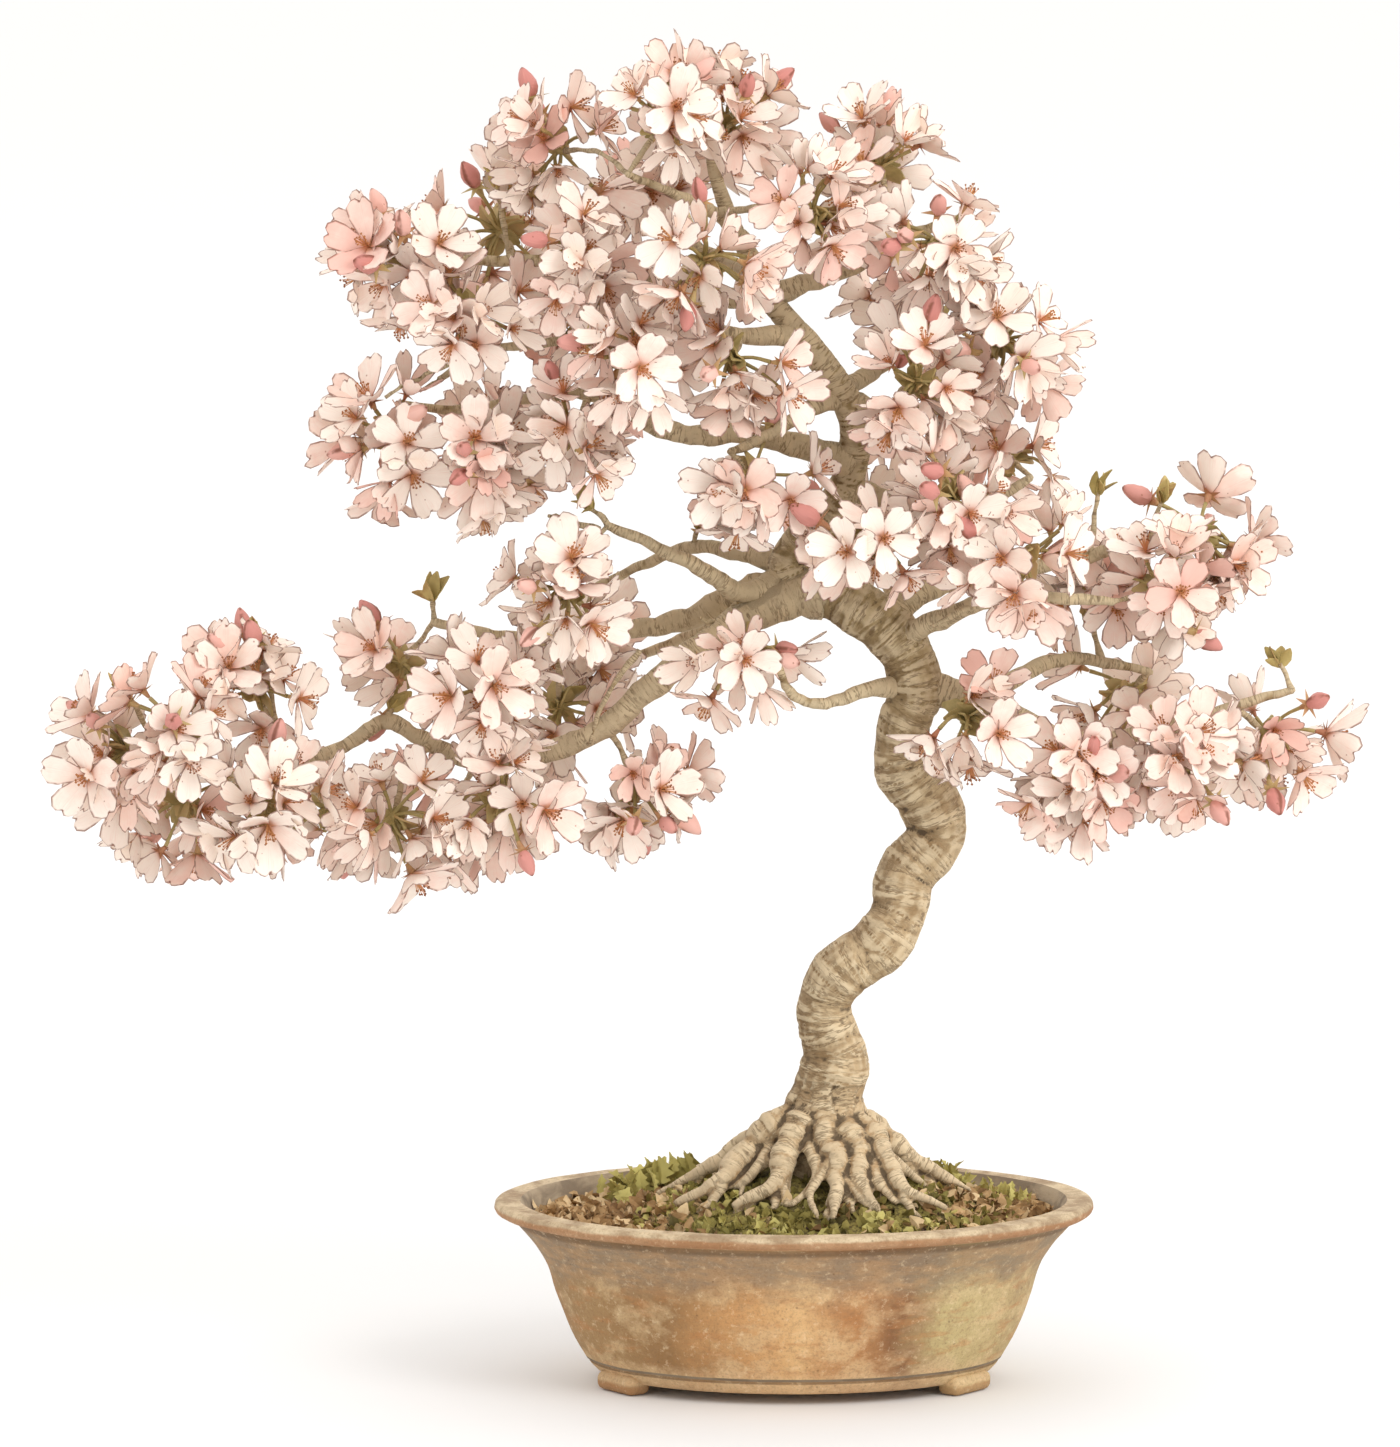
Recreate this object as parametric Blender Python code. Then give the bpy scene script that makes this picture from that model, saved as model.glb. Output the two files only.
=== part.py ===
"""Cherry blossom bonsai in an oval stoneware pot, as one model in metres with +Z up.

The tree is one piece of wood: surface roots, a winding trunk, boughs and twigs. It stands in a plain hole
in a moss mound on potting soil. Each spray of blossom is one piece, held at the end of its own twig.
Run it with: blender --background --python part.py
"""

import math
import random

import bmesh
import bpy
from mathutils import Matrix, Vector

# Driving dimensions, in metres
POT_LENGTH = 0.240
POT_DEPTH = 0.172
POT_HEIGHT = 0.0735
LIP_HEIGHT = 0.0052
NECK_HEIGHT = 0.0475
LIP_WIDTH = 0.0105
WALL = 0.0055
FLOOR_TOP = 0.011
FOOT_HEIGHT = 0.0042
FOOT_LENGTH = 0.024
FOOT_DEPTH = 0.011
FOOT_TURN = 0.48
BASE_LENGTH = 0.154
DRAIN_RADIUS = 0.008
DRAIN_SPACING = 0.078
SCREEN_SIDE = 0.024
SCREEN_THICKNESS = 0.0014
SOIL_TOP = 0.0610
MOUND_TOP = 0.0885
MOUND_EDGE = 0.0665
STUMP_RADIUS = 0.0175
STUMP_BOTTOM = 0.0445
BLOOM_RADIUS = 0.0188
STALK_LENGTH = 0.0205
STALK_RADIUS = 0.0008
SHORT_TWIG = 0.022
HUB_RADIUS = 0.0030
BUD_LENGTH = 0.011
BUD_RADIUS = 0.0035
GAP = 0.00032

# How the photograph's places become sizes: one pixel in metres, the pot's axis, the surface, the view's tilt
PIXEL = 0.00040
POT_AXIS_COLUMN = 794
SURFACE_ROW = 1381
VIEW_TILT = math.radians(10)

SEED = 41
OVAL_SIDES = 32
TRUNK_SIDES = 9
THICK_BOUGH = 0.0065
THIN_BOUGH = 0.0052

# Centrelines: photograph column, photograph row, depth behind the pot's axis in millimetres, radius in millimetres
TRUNK = [
    (824, 1128, 0, 17.0), (828, 1092, -1, 15.0), (836, 1056, -2, 13.0), (824, 1012, -4, 11.9), (838, 974, -6, 11.6),
    (880, 944, -6, 11.6), (900, 908, -3, 11.4), (906, 874, 1, 11.6), (938, 836, 4, 12.0), (928, 800, 4, 12.0),
    (904, 764, 2, 11.6), (904, 726, -1, 11.2), (916, 690, -3, 11.0), (904, 650, -3, 10.9), (874, 618, -2, 10.6),
    (838, 598, 0, 10.0), (806, 590, 2, 9.4), (788, 566, 4, 8.2), (806, 534, 5, 7.6), (836, 504, 4, 7.0),
    (852, 466, 1, 6.6), (853, 424, -3, 6.3), (838, 386, -6, 5.8), (808, 344, -6, 5.2), (774, 304, -4, 4.8),
    (752, 262, 0, 4.2), (728, 214, 3, 3.4), (712, 160, 2, 2.5), (716, 112, 0, 1.5),
]
BOUGHS = {
    "lower_left": [
        (812, 592, 0, 8.6), (768, 606, -4, 7.6), (716, 640, -9, 6.6), (660, 680, -12, 5.6), (606, 726, -12, 4.8),
        (548, 752, -8, 4.2), (486, 762, -4, 3.8), (430, 744, 0, 3.4), (386, 722, 2, 3.2), (344, 746, 2, 2.8),
        (286, 768, 0, 2.4), (228, 776, -2, 1.9), (166, 764, -2, 1.4),
    ],
    "upper_left": [
        (826, 588, 0, 7.0), (776, 584, 8, 6.4), (728, 600, 14, 5.4), (676, 622, 17, 4.4), (610, 632, 16, 3.6),
        (548, 640, 12, 3.0), (486, 634, 8, 2.4), (434, 622, 6, 1.7),
    ],
    "left_reach": [
        (786, 576, 3, 5.0), (744, 592, -8, 4.2), (706, 572, -15, 3.4), (660, 548, -19, 2.6), (608, 526, -20, 1.7),
    ],
    "left_back_reach": [
        (790, 566, 6, 4.6), (740, 552, 22, 3.4), (690, 548, 36, 2.6), (640, 566, 46, 2.0), (590, 590, 52, 1.5),
    ],
    "middle_left": [
        (852, 464, 0, 5.6), (800, 446, -4, 5.0), (744, 434, -8, 4.6), (690, 436, -10, 4.2), (636, 418, -8, 3.6),
        (590, 394, -4, 3.0), (530, 398, 0, 2.4), (460, 410, 4, 2.0), (404, 404, 6, 1.5),
    ],
    "middle_cross": [
        (850, 396, -4, 4.0), (806, 412, -15, 3.2), (766, 438, -23, 2.4), (730, 452, -29, 1.6),
    ],
    "crown_left": [
        (770, 300, -4, 4.2), (706, 296, 3, 3.6), (642, 274, 9, 3.2), (576, 258, 12, 2.8), (510, 262, 12, 2.4),
        (454, 262, 8, 2.0), (416, 282, 3, 1.4),
    ],
    "crown_low_left": [
        (800, 336, -6, 4.0), (740, 336, -17, 3.4), (676, 330, -25, 2.8), (610, 336, -28, 2.3), (550, 344, -25, 1.9),
        (488, 352, -18, 1.6), (440, 380, -12, 1.3),
    ],
    "crown_right": [
        (768, 296, -4, 4.2), (812, 282, -2, 3.8), (860, 264, 4, 3.2), (908, 236, 7, 2.6), (962, 218, 6, 1.7),
    ],
    "crown_back": [
        (756, 272, 0, 4.0), (736, 268, 26, 3.2), (704, 250, 50, 2.5), (672, 226, 70, 1.8),
    ],
    "crown_front": [
        (746, 246, 1, 3.2), (716, 214, -18, 2.6), (676, 196, -33, 2.0), (628, 176, -42, 1.5),
    ],
    "right_shoulder": [
        (853, 404, -4, 4.2), (896, 414, -3, 3.6), (942, 404, 2, 3.0), (984, 368, 8, 2.4), (1010, 330, 10, 1.7),
    ],
    "right_shoulder_back": [
        (842, 390, -5, 3.8), (872, 372, 22, 3.0), (904, 346, 46, 2.4), (930, 316, 62, 1.7),
    ],
    "right_arm": [
        (846, 488, 3, 4.8), (890, 500, -2, 4.0), (940, 512, -9, 3.2), (990, 500, -12, 2.5), (1030, 478, -12, 1.6),
    ],
    "right_middle": [
        (884, 628, -2, 6.0), (916, 596, 6, 5.0), (968, 576, 13, 4.2), (1030, 568, 16, 3.5), (1090, 556, 14, 2.8),
        (1150, 538, 10, 2.2), (1204, 528, 7, 1.5),
    ],
    "right_middle_low": [
        (898, 640, -3, 5.0), (938, 620, -14, 4.0), (990, 602, -22, 3.2), (1050, 598, -27, 2.6), (1112, 602, -26, 1.8),
    ],
    "right_low": [
        (910, 680, -3, 7.0), (962, 698, -3, 6.4), (1012, 716, -6, 5.4), (1060, 740, -8, 4.4), (1116, 738, -6, 3.4),
        (1176, 722, -4, 2.8), (1236, 706, -2, 2.2), (1292, 690, 0, 1.5),
    ],
    "right_low_back": [
        (960, 696, -2, 4.8), (1012, 680, 9, 3.8), (1056, 660, 18, 3.0), (1104, 662, 26, 2.2), (1150, 672, 32, 1.6),
    ],
    "back_arm": [
        (912, 668, -3, 5.0), (916, 640, 26, 4.0), (900, 612, 52, 3.2), (884, 576, 74, 2.4), (866, 540, 86, 1.7),
    ],
    "bare_twig": [
        (908, 686, -3, 4.4), (866, 690, -15, 3.2), (822, 704, -21, 2.4), (788, 690, -24, 1.9), (776, 652, -25, 1.4),
    ],
    "back_left_arm": [
        (806, 590, 3, 5.2), (764, 600, 32, 4.0), (716, 622, 56, 3.0), (660, 648, 74, 2.2), (604, 664, 84, 1.6),
    ],
}

# Sprays: photograph column and row of the hub, depth in millimetres, number of blooms, number of buds
SPRAYS = [
    (128, 752, -4, 4, 1), (176, 730, -30, 4, 0), (184, 800, 16, 5, 1), (256, 692, -8, 4, 2), (262, 800, -36, 4, 0),
    (330, 806, 14, 5, 0), (392, 816, -34, 5, 0), (456, 800, 26, 5, 0), (504, 800, -30, 4, 0), (402, 664, 14, 3, 1),
    (486, 692, -34, 5, 0), (560, 706, 28, 4, 0), (566, 592, -34, 5, 0), (582, 636, 58, 4, 0), (634, 784, -14, 4, 2),
    (742, 650, -16, 2, 1), (394, 440, -6, 4, 2), (474, 458, -26, 5, 0), (508, 444, 32, 4, 0), (572, 430, -36, 4, 0),
    (752, 476, -30, 4, 0), (408, 266, -8, 5, 1), (472, 316, -30, 5, 0), (500, 232, 38, 4, 1), (560, 150, -4, 5, 1),
    (580, 262, -40, 5, 0), (588, 308, 40, 4, 0), (636, 352, -56, 5, 0), (664, 192, 62, 4, 0), (660, 128, -32, 4, 0),
    (728, 132, 14, 4, 2), (704, 262, -60, 5, 0), (734, 360, -52, 5, 0), (812, 216, -34, 5, 0), (880, 172, 22, 4, 2),
    (938, 244, -22, 4, 2), (928, 316, 48, 5, 0), (1000, 342, -8, 5, 1), (916, 382, -34, 5, 0), (868, 540, -36, 4, 0),
    (952, 498, -40, 5, 0), (868, 520, 78, 4, 0), (1010, 458, 8, 4, 1), (1020, 560, -46, 5, 0), (1096, 598, 34, 5, 0),
    (1160, 590, -14, 5, 0), (1200, 534, 16, 4, 2), (966, 716, -26, 3, 0), (1078, 772, -22, 5, 0), (1130, 690, 38, 4, 0),
    (1180, 758, -24, 5, 0), (1266, 734, 4, 5, 2),
]

# A petal's outline as (turn in fifths of a circle, share of the bloom's radius, share of its cup)
PETAL = {"valley": (-0.5, 0.42, 0.2), "left": (-0.33, 0.95, 0.9), "notch": (0.0, 0.89, 1.0), "right": (0.33, 0.95, 0.9)}
PETAL_SAMPLES = [*PETAL.values(), (-0.41, 0.66, 0.55), (0.41, 0.66, 0.55), (0.0, 0.55, 0.5)]

# Twig ends that carry a tuft of young leaves: photograph column and row of the tip, depth in millimetres
TUFTS = [
    (590, 508, -20), (700, 528, 30), (126, 690, -8), (258, 640, -10), (432, 598, 8), (392, 708, 4), (496, 186, 20),
    (1098, 492, 12), (1162, 500, 8), (1280, 664, 2),
]


def seen(column, row, depth_mm):
    """The place in space of a point of the photograph, at a depth behind the pot's axis."""
    depth = depth_mm / 1000
    across = (column - POT_AXIS_COLUMN) * PIXEL
    up = ((SURFACE_ROW - row) * PIXEL - depth * math.sin(VIEW_TILT)) / math.cos(VIEW_TILT)
    return Vector((across, depth, up))


def centreline(points, steps):
    """A smooth line through the given points: a list of (place, radius), with steps between each two."""
    knots = [(seen(c, r, d), radius / 1000) for c, r, d, radius in points]
    return smooth_line(knots, steps)


def smooth_line(knots, steps):
    """A Catmull-Rom line through knots of (place, radius)."""
    line = []
    for i in range(len(knots) - 1):
        before, here, there, after = (knots[max(0, min(len(knots) - 1, i + k))] for k in (-1, 0, 1, 2))
        for step in range(steps):
            t = step / steps
            line.append(tuple(blend4(before[k], here[k], there[k], after[k], t) for k in (0, 1)))
    line.append(knots[-1])
    return line


def blend4(a, b, c, d, t):
    """Catmull-Rom blend of four values."""
    return 0.5 * (2 * b + (c - a) * t + (2 * a - 5 * b + 4 * c - d) * t * t + (3 * b - a - 3 * c + d) * t**3)


def wood_lines():
    """Every stretch of wood, as lists of (place, radius): the trunk first, then the boughs."""
    lines = {"trunk": [(p, r * bark_swell(i)) for i, (p, r) in enumerate(centreline(TRUNK, 1))]}
    for name, points in BOUGHS.items():
        lines[name] = centreline(points, 1)
    return lines


def bark_swell(i):
    """Old bark swells and pinches along the trunk."""
    return 1 + 0.045 * math.sin(i * 3.8) + 0.025 * math.sin(i * 1.4 + 1)


def mound_height(x, y):
    """Height of the moss over the soil: highest at the trunk, low at the pot's wall."""
    base = seen(*TRUNK[0][:3])
    t = min(1.0, math.hypot((x - base.x) / 0.094, (y - base.y) / 0.066))
    return MOUND_EDGE + (MOUND_TOP - MOUND_EDGE) * math.cos(math.pi / 2 * t) ** 1.6


def root_lines(rng):
    """Surface roots that leave the trunk all round, bend over the mound and end on the moss."""
    base = seen(*TRUNK[0][:3])
    lines = []
    count = 12
    for i in range(count):
        angle = 2 * math.pi * (i + rng.uniform(-0.22, 0.22)) / count
        reach = (0.058 + rng.uniform(-0.006, 0.006)) * (1 - 0.22 * math.sin(angle) ** 2)
        if i in (6, 7):
            reach += 0.012
        thick = rng.uniform(0.0042, 0.0058)
        sway = rng.uniform(-0.2, 0.2)
        knots = [(base + Vector((math.cos(angle), math.sin(angle), 0)) * 0.006 + Vector((0, 0, 0.010)), thick)]
        for share, slim, lift in ((0.33, 1.15, 0.0105), (0.52, 0.92, 0.0062), (0.72, 0.62, 0.0026), (1.0, 0.26, 0.0006)):
            turned = angle + sway * share + 0.10 * math.sin(share * 9 + i)
            across = Vector((math.cos(turned), math.sin(turned), 0)) * reach * share
            place = base + across
            radius = thick * slim
            place.z = mound_height(place.x, place.y) + radius + lift + 0.0006
            knots.append((place, radius))
        lines.append(smooth_line(knots, 1))
    return lines


def nearest_on(lines, place):
    """The point of the wood that a twig to this place grows from: (point, radius)."""
    found = min(
        ((p, r) for line in lines.values() for p, r in line if p.z > 0.2045),
        key=lambda pair: (pair[0] - place).length - pair[1] * 0.6,
    )
    return found


def spray_plan(lines, rng):
    """Where each spray hangs: its hub, the way back along its twig, and the twig's line."""
    plan = []
    for column, row, depth, blooms, buds in SPRAYS:
        hub = seen(column, row, depth)
        root, radius = nearest_on(lines, hub)
        away = (hub - root).normalized()
        clear = radius + 0.0085
        if (hub - root).length < clear:
            hub = root + away * clear
        end = hub - away * (HUB_RADIUS + GAP)
        side = away.cross(Vector((rng.uniform(-1, 1), rng.uniform(-1, 1), 0.4))).normalized()
        length = (end - root).length
        middle = (root + end) / 2 + side * length * 0.10
        thick = max(0.0011, min(radius * 0.7, 0.0012 + length * 0.016))
        knots = [(root, thick), (middle, thick * 0.85), (end, 0.0012)]
        if length < SHORT_TWIG:
            knots = [(root, thick), (end, 0.0012)]
        plan.append({"hub": hub, "away": away, "twig": knots, "blooms": blooms, "buds": buds, "depth": depth})
    return plan


def tuft_plan(lines):
    """Where each tuft of young leaves grows: the foot of its twig, its tip and the way it points."""
    plan = []
    for column, row, depth in TUFTS:
        tip = seen(column, row, depth)
        root, _ = nearest_on(lines, tip)
        plan.append((root, tip, (tip - root).normalized()))
    return plan


def distance_to_line(place, line):
    """Clear distance from a place to a round stretch of wood."""
    best = 1.0
    for (a, ra), (b, rb) in zip(line, line[1:]):
        along = b - a
        t = max(0.0, min(1.0, (place - a).dot(along) / max(along.length_squared, 1e-12)))
        best = min(best, (place - a - along * t).length - ra - (rb - ra) * t)
    return best


def turned_frame(axis, roll):
    """Two directions square to an axis, turned round it by an angle."""
    side = axis.orthogonal().normalized()
    up = axis.cross(side)
    return side * math.cos(roll) + up * math.sin(roll), up * math.cos(roll) - side * math.sin(roll)


def bloom_samples(bloom):
    """Points all over a bloom and its stalk, by which it is kept clear of what is near it."""
    heart, axis, radius, hub = bloom["heart"], bloom["axis"], bloom["radius"], bloom["hub"]
    side, up = turned_frame(axis, bloom["roll"])
    points = [heart, heart - axis * 0.003, (heart + hub) / 2, heart * 0.25 + hub * 0.75]
    for petal in range(5):
        for turn, reach, lift in PETAL_SAMPLES:
            a = 2 * math.pi * (petal + turn) / 5
            spoke = side * math.cos(a) + up * math.sin(a)
            points.append(heart + spoke * radius * reach + axis * bloom["cup"] * lift)
    return points


def bud_samples(bud):
    """Points along a closed bud and its stalk."""
    heart, axis, hub = bud["heart"], bud["axis"], bud["hub"]
    points = [heart, (heart + hub) / 2, heart * 0.25 + hub * 0.75]
    return points + [heart + axis * BUD_LENGTH * share for share in (0.35, 0.7, 1.0)]


def place_blooms(plan, tufts, lines, rng):
    """Hangs the blooms of each spray round its hub, each bent clear of the wood and of the other sprays."""
    wood = list(lines.values()) + [item["twig"] for item in plan]
    wood += [[(root, 0.0012), (tip, 0.0012), (tip + way * 0.012, 0.0085)] for root, tip, way in tufts]
    boxes = [line_box(line) for line in wood]
    taken = []
    for number, item in enumerate(plan):
        taken.append((number, [item["hub"]]))
    for number, item in enumerate(plan):
        facing = Vector((0, -0.9 if item["depth"] < 12 else 0.9, -0.35))
        aim = (item["away"] * 0.8 + facing).normalized()
        item["flowers"] = []
        item["closed"] = []
        wanted = [("flowers", BLOOM_RADIUS)] * item["blooms"] + [("closed", BUD_RADIUS)] * item["buds"]
        for kind, radius in wanted:
            for attempt in range(90):
                way = Vector([rng.gauss(0, 1) for _ in range(3)]).normalized()
                if kind == "closed":
                    way = (way + Vector((0, 0, 0.9)) + item["away"]).normalized()
                if way.dot(aim) < -0.30 or way.dot(-item["away"]) > 0.35:
                    continue
                spread = 0.36 if kind == "flowers" else 0.75
                if any(way.dot(other["way"]) > spread for other in item["flowers"] + item["closed"]):
                    continue
                length = STALK_LENGTH * rng.uniform(0.82, 1.25)
                lean = Vector([rng.gauss(0, 0.16) for _ in range(3)])
                flower = {
                    "hub": item["hub"],
                    "way": way,
                    "heart": item["hub"] + way * length,
                    "axis": (way + lean).normalized(),
                    "radius": radius * rng.uniform(0.90, 1.08),
                    "roll": rng.uniform(0, 2 * math.pi),
                    "cup": radius * rng.uniform(0.15, 0.55),
                }
                points = bloom_samples(flower) if kind == "flowers" else bud_samples(flower)
                if is_clear(points, number, wood, boxes, taken, len(lines)):
                    item[kind].append(flower)
                    taken.append((number, points))
                    break
    return plan


def line_box(line):
    """The lowest and highest corner round a line of wood."""
    low = Vector(min(p[k] - r for p, r in line) for k in range(3))
    high = Vector(max(p[k] + r for p, r in line) for k in range(3))
    return low, high


def is_clear(points, number, wood, boxes, taken, bough_count):
    """True where the points keep off the wood and off the blooms of other sprays."""
    apart = 0.0070
    low = Vector(min(p[k] for p in points) for k in range(3))
    high = Vector(max(p[k] for p in points) for k in range(3))
    for other, cloud in taken:
        if other == number:
            continue
        first = cloud[0]
        if any(first[k] < low[k] - 0.03 or first[k] > high[k] + 0.03 for k in range(3)):
            continue
        if any((p - q).length < apart for p in points for q in cloud):
            return False
    for index, line in enumerate(wood):
        own_twig = index - bough_count == number
        start, end = boxes[index]
        if any(end[k] < low[k] - 0.004 or start[k] > high[k] + 0.004 for k in range(3)):
            continue
        room = 0.0030 if own_twig else 0.0040
        if any(distance_to_line(p, line) < room for p in points):
            return False
    return True


def clear_scene():
    """Starts from an empty scene."""
    for obj in list(bpy.data.objects):
        bpy.data.objects.remove(obj)


def material(name, colour, roughness, metallic=0.0):
    """A plain finish."""
    made = bpy.data.materials.new(name)
    made.use_nodes = True
    shader = made.node_tree.nodes["Principled BSDF"]
    shader.inputs["Base Color"].default_value = (*colour, 1)
    shader.inputs["Roughness"].default_value = roughness
    shader.inputs["Metallic"].default_value = metallic
    made.diffuse_color = (*colour, 1)
    return made


def new_object(name, mesh, finish):
    """Puts a mesh in the scene under a plain name."""
    obj = bpy.data.objects.new(name, mesh)
    bpy.context.scene.collection.objects.link(obj)
    obj.data.materials.clear()
    obj.data.materials.append(finish)
    return obj


def mesh_from(name, verts, faces):
    """A closed mesh with its faces pointing out."""
    mesh = bpy.data.meshes.new(name)
    mesh.from_pydata([tuple(v) for v in verts], [], faces)
    shape = bmesh.new()
    shape.from_mesh(mesh)
    bmesh.ops.recalc_face_normals(shape, faces=shape.faces)
    shape.to_mesh(mesh)
    shape.free()
    return mesh


def tube_mesh(name, line, sides):
    """A round closed limb along a line of (place, radius), with rings that don't twist."""
    verts = []
    faces = []
    across = None
    for i, (place, radius) in enumerate(line):
        ahead = line[min(i + 1, len(line) - 1)][0] - line[max(i - 1, 0)][0]
        ahead.normalize()
        across = ahead.orthogonal() if across is None else across - ahead * across.dot(ahead)
        across.normalize()
        over = ahead.cross(across)
        for k in range(sides):
            a = 2 * math.pi * k / sides
            verts.append(place + (across * math.cos(a) + over * math.sin(a)) * radius)
    for i in range(len(line) - 1):
        for k in range(sides):
            n = (k + 1) % sides
            faces.append((i * sides + k, i * sides + n, (i + 1) * sides + n, (i + 1) * sides + k))
    faces.append(tuple(reversed(range(sides))))
    faces.append(tuple(range((len(line) - 1) * sides, len(line) * sides)))
    return mesh_from(name, verts, faces)


def joined(name, meshes, finish):
    """One solid from meshes that overlap: a Boolean union on a collection, applied, with its objects removed."""
    body = new_object(name, meshes[0], finish)
    if len(meshes) > 1:
        group = bpy.data.collections.new(name + "_pieces")
        for i, mesh in enumerate(meshes[1:]):
            group.objects.link(bpy.data.objects.new(f"{name}_piece_{i}", mesh))
        union = body.modifiers.new("union", "BOOLEAN")
        union.operation = "UNION"
        union.operand_type = "COLLECTION"
        union.collection = group
        union.solver = "MANIFOLD"
        graph = bpy.context.evaluated_depsgraph_get()
        whole = bpy.data.meshes.new_from_object(body.evaluated_get(graph))
        body.modifiers.clear()
        body.data = whole
        body.data.materials.clear()
        body.data.materials.append(finish)
        for piece in list(group.objects):
            bpy.data.objects.remove(piece)
        bpy.data.collections.remove(group)
    return body


def bloom_mesh(name, bloom, notched):
    """Five petals round a heart, on a three-sided stalk that ends inside the hub; the near ones have notched tips."""
    heart, axis, radius, hub = bloom["heart"], bloom["axis"], bloom["radius"], bloom["hub"]
    side, up = turned_frame(axis, bloom["roll"])
    outline = [place for name, place in PETAL.items() if notched or name != "notch"]
    verts = [heart - axis * 0.0004]
    for petal in range(5):
        for turn, reach, lift in outline:
            a = 2 * math.pi * (petal + turn) / 5
            spoke = side * math.cos(a) + up * math.sin(a)
            verts.append(heart + spoke * radius * reach + axis * bloom["cup"] * lift)
    rim = 5 * len(outline)
    throat = heart - axis * 0.0034
    for centre, size in ((throat, 0.0016), (hub, STALK_RADIUS)):
        for k in range(3):
            a = 2 * math.pi * (k - 0.5) / 3
            verts.append(centre + (side * math.cos(a) + up * math.sin(a)) * size)
    faces = [(0, 1 + i, 1 + (i + 1) % rim) for i in range(rim)]
    collar = [1 + rim + (i * 3 + rim // 2) // rim % 3 for i in range(rim)]
    for i in range(rim):
        here, there = collar[i], collar[(i + 1) % rim]
        faces.append((1 + (i + 1) % rim, 1 + i, here))
        if here != there:
            faces.append((1 + (i + 1) % rim, here, there))
    stalk = 1 + rim
    for k in range(3):
        n = (k + 1) % 3
        faces.append((stalk + k, stalk + n, stalk + 3 + n, stalk + 3 + k))
    faces.append((stalk + 3, stalk + 4, stalk + 5))
    return mesh_from(name, verts, faces)


def bud_line(bud):
    """A closed bud on its stalk, as a line of (place, radius)."""
    hub, heart, axis = bud["hub"], bud["heart"], bud["axis"]
    return [
        (hub, STALK_RADIUS),
        (heart - axis * 0.002, STALK_RADIUS),
        (heart + axis * BUD_LENGTH * 0.4, bud["radius"]),
        (heart + axis * BUD_LENGTH, 0.0006),
    ]


def build_sprays(plan, finish):
    """One solid for each spray: a hub, its stalks, its blooms and its buds."""
    for number, item in enumerate(plan):
        hub, away = item["hub"], item["away"]
        knob = [(hub - away * HUB_RADIUS, 0.0014), (hub, HUB_RADIUS), (hub + away * HUB_RADIUS, 0.0014)]
        meshes = [tube_mesh("hub", knob, 3)]
        notched = item["depth"] < -25
        meshes += [bloom_mesh("bloom", flower, notched) for flower in item["flowers"]]
        meshes += [tube_mesh("bud", bud_line(bud), 3) for bud in item["closed"]]
        joined(f"blossom_spray_{number + 1:02d}", meshes, finish)


def leaf_tuft(tip, way, rng):
    """A tuft of young folded leaves at a twig's tip."""
    meshes = []
    for i in range(3):
        lean = Vector([rng.uniform(-0.4, 0.4) for _ in range(3)])
        along = (way + lean).normalized()
        length = rng.uniform(0.009, 0.013)
        line = [(tip - along * 0.0012, 0.0007), (tip + along * length * 0.45, 0.0022), (tip + along * length, 0.0004)]
        meshes.append(tube_mesh("leaf", line, 3))
    return meshes


def build_tree(lines, plan, tufts, rng, finish):
    """Roots, trunk, boughs, twigs and leaf tufts as one piece of wood."""
    trunk = lines["trunk"]
    base = trunk[0][0]
    stump = [
        (Vector((base.x, base.y, STUMP_BOTTOM)), STUMP_RADIUS * 0.86),
        (Vector((base.x, base.y, MOUND_TOP - 0.004)), STUMP_RADIUS),
    ]
    meshes = [tube_mesh("trunk", stump + trunk, TRUNK_SIDES)]
    meshes += [tube_mesh("root", line, 5) for line in root_lines(rng)]
    for name, line in lines.items():
        if name != "trunk":
            meshes.append(tube_mesh(name, line, 6 if line[0][1] > THICK_BOUGH else 4 if line[0][1] < THIN_BOUGH else 5))
    for item in plan:
        meshes.append(tube_mesh("twig", item["twig"], 3))
    for root, tip, way in tufts:
        meshes.append(tube_mesh("tuft_twig", [(root, 0.0012), (tip, 0.0009)], 3))
        meshes += leaf_tuft(tip, way, rng)
    return joined("tree", meshes, finish)


def oval_ring(half_length, z, squash=POT_DEPTH / POT_LENGTH):
    """Points of a level oval round the pot's axis."""
    turns = [2 * math.pi * k / OVAL_SIDES for k in range(OVAL_SIDES)]
    return [Vector((half_length * math.cos(a), half_length * squash * math.sin(a), z)) for a in turns]


def oval_solid(name, outline):
    """A closed turned shape with an oval plan, from (half length, height) pairs going up the outside and down inside."""
    verts = []
    faces = []
    for half_length, z in outline:
        verts += oval_ring(half_length, z)
    n = OVAL_SIDES
    for i in range(len(outline) - 1):
        for k in range(n):
            m = (k + 1) % n
            faces.append((i * n + k, i * n + m, (i + 1) * n + m, (i + 1) * n + k))
    for level, (_, z) in ((0, outline[0]), (len(outline) - 1, outline[-1])):
        verts.append(Vector((0, 0, z)))
        for k in range(n):
            faces.append((level * n + k, level * n + (k + 1) % n, len(verts) - 1))
    return mesh_from(name, verts, faces)


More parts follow.
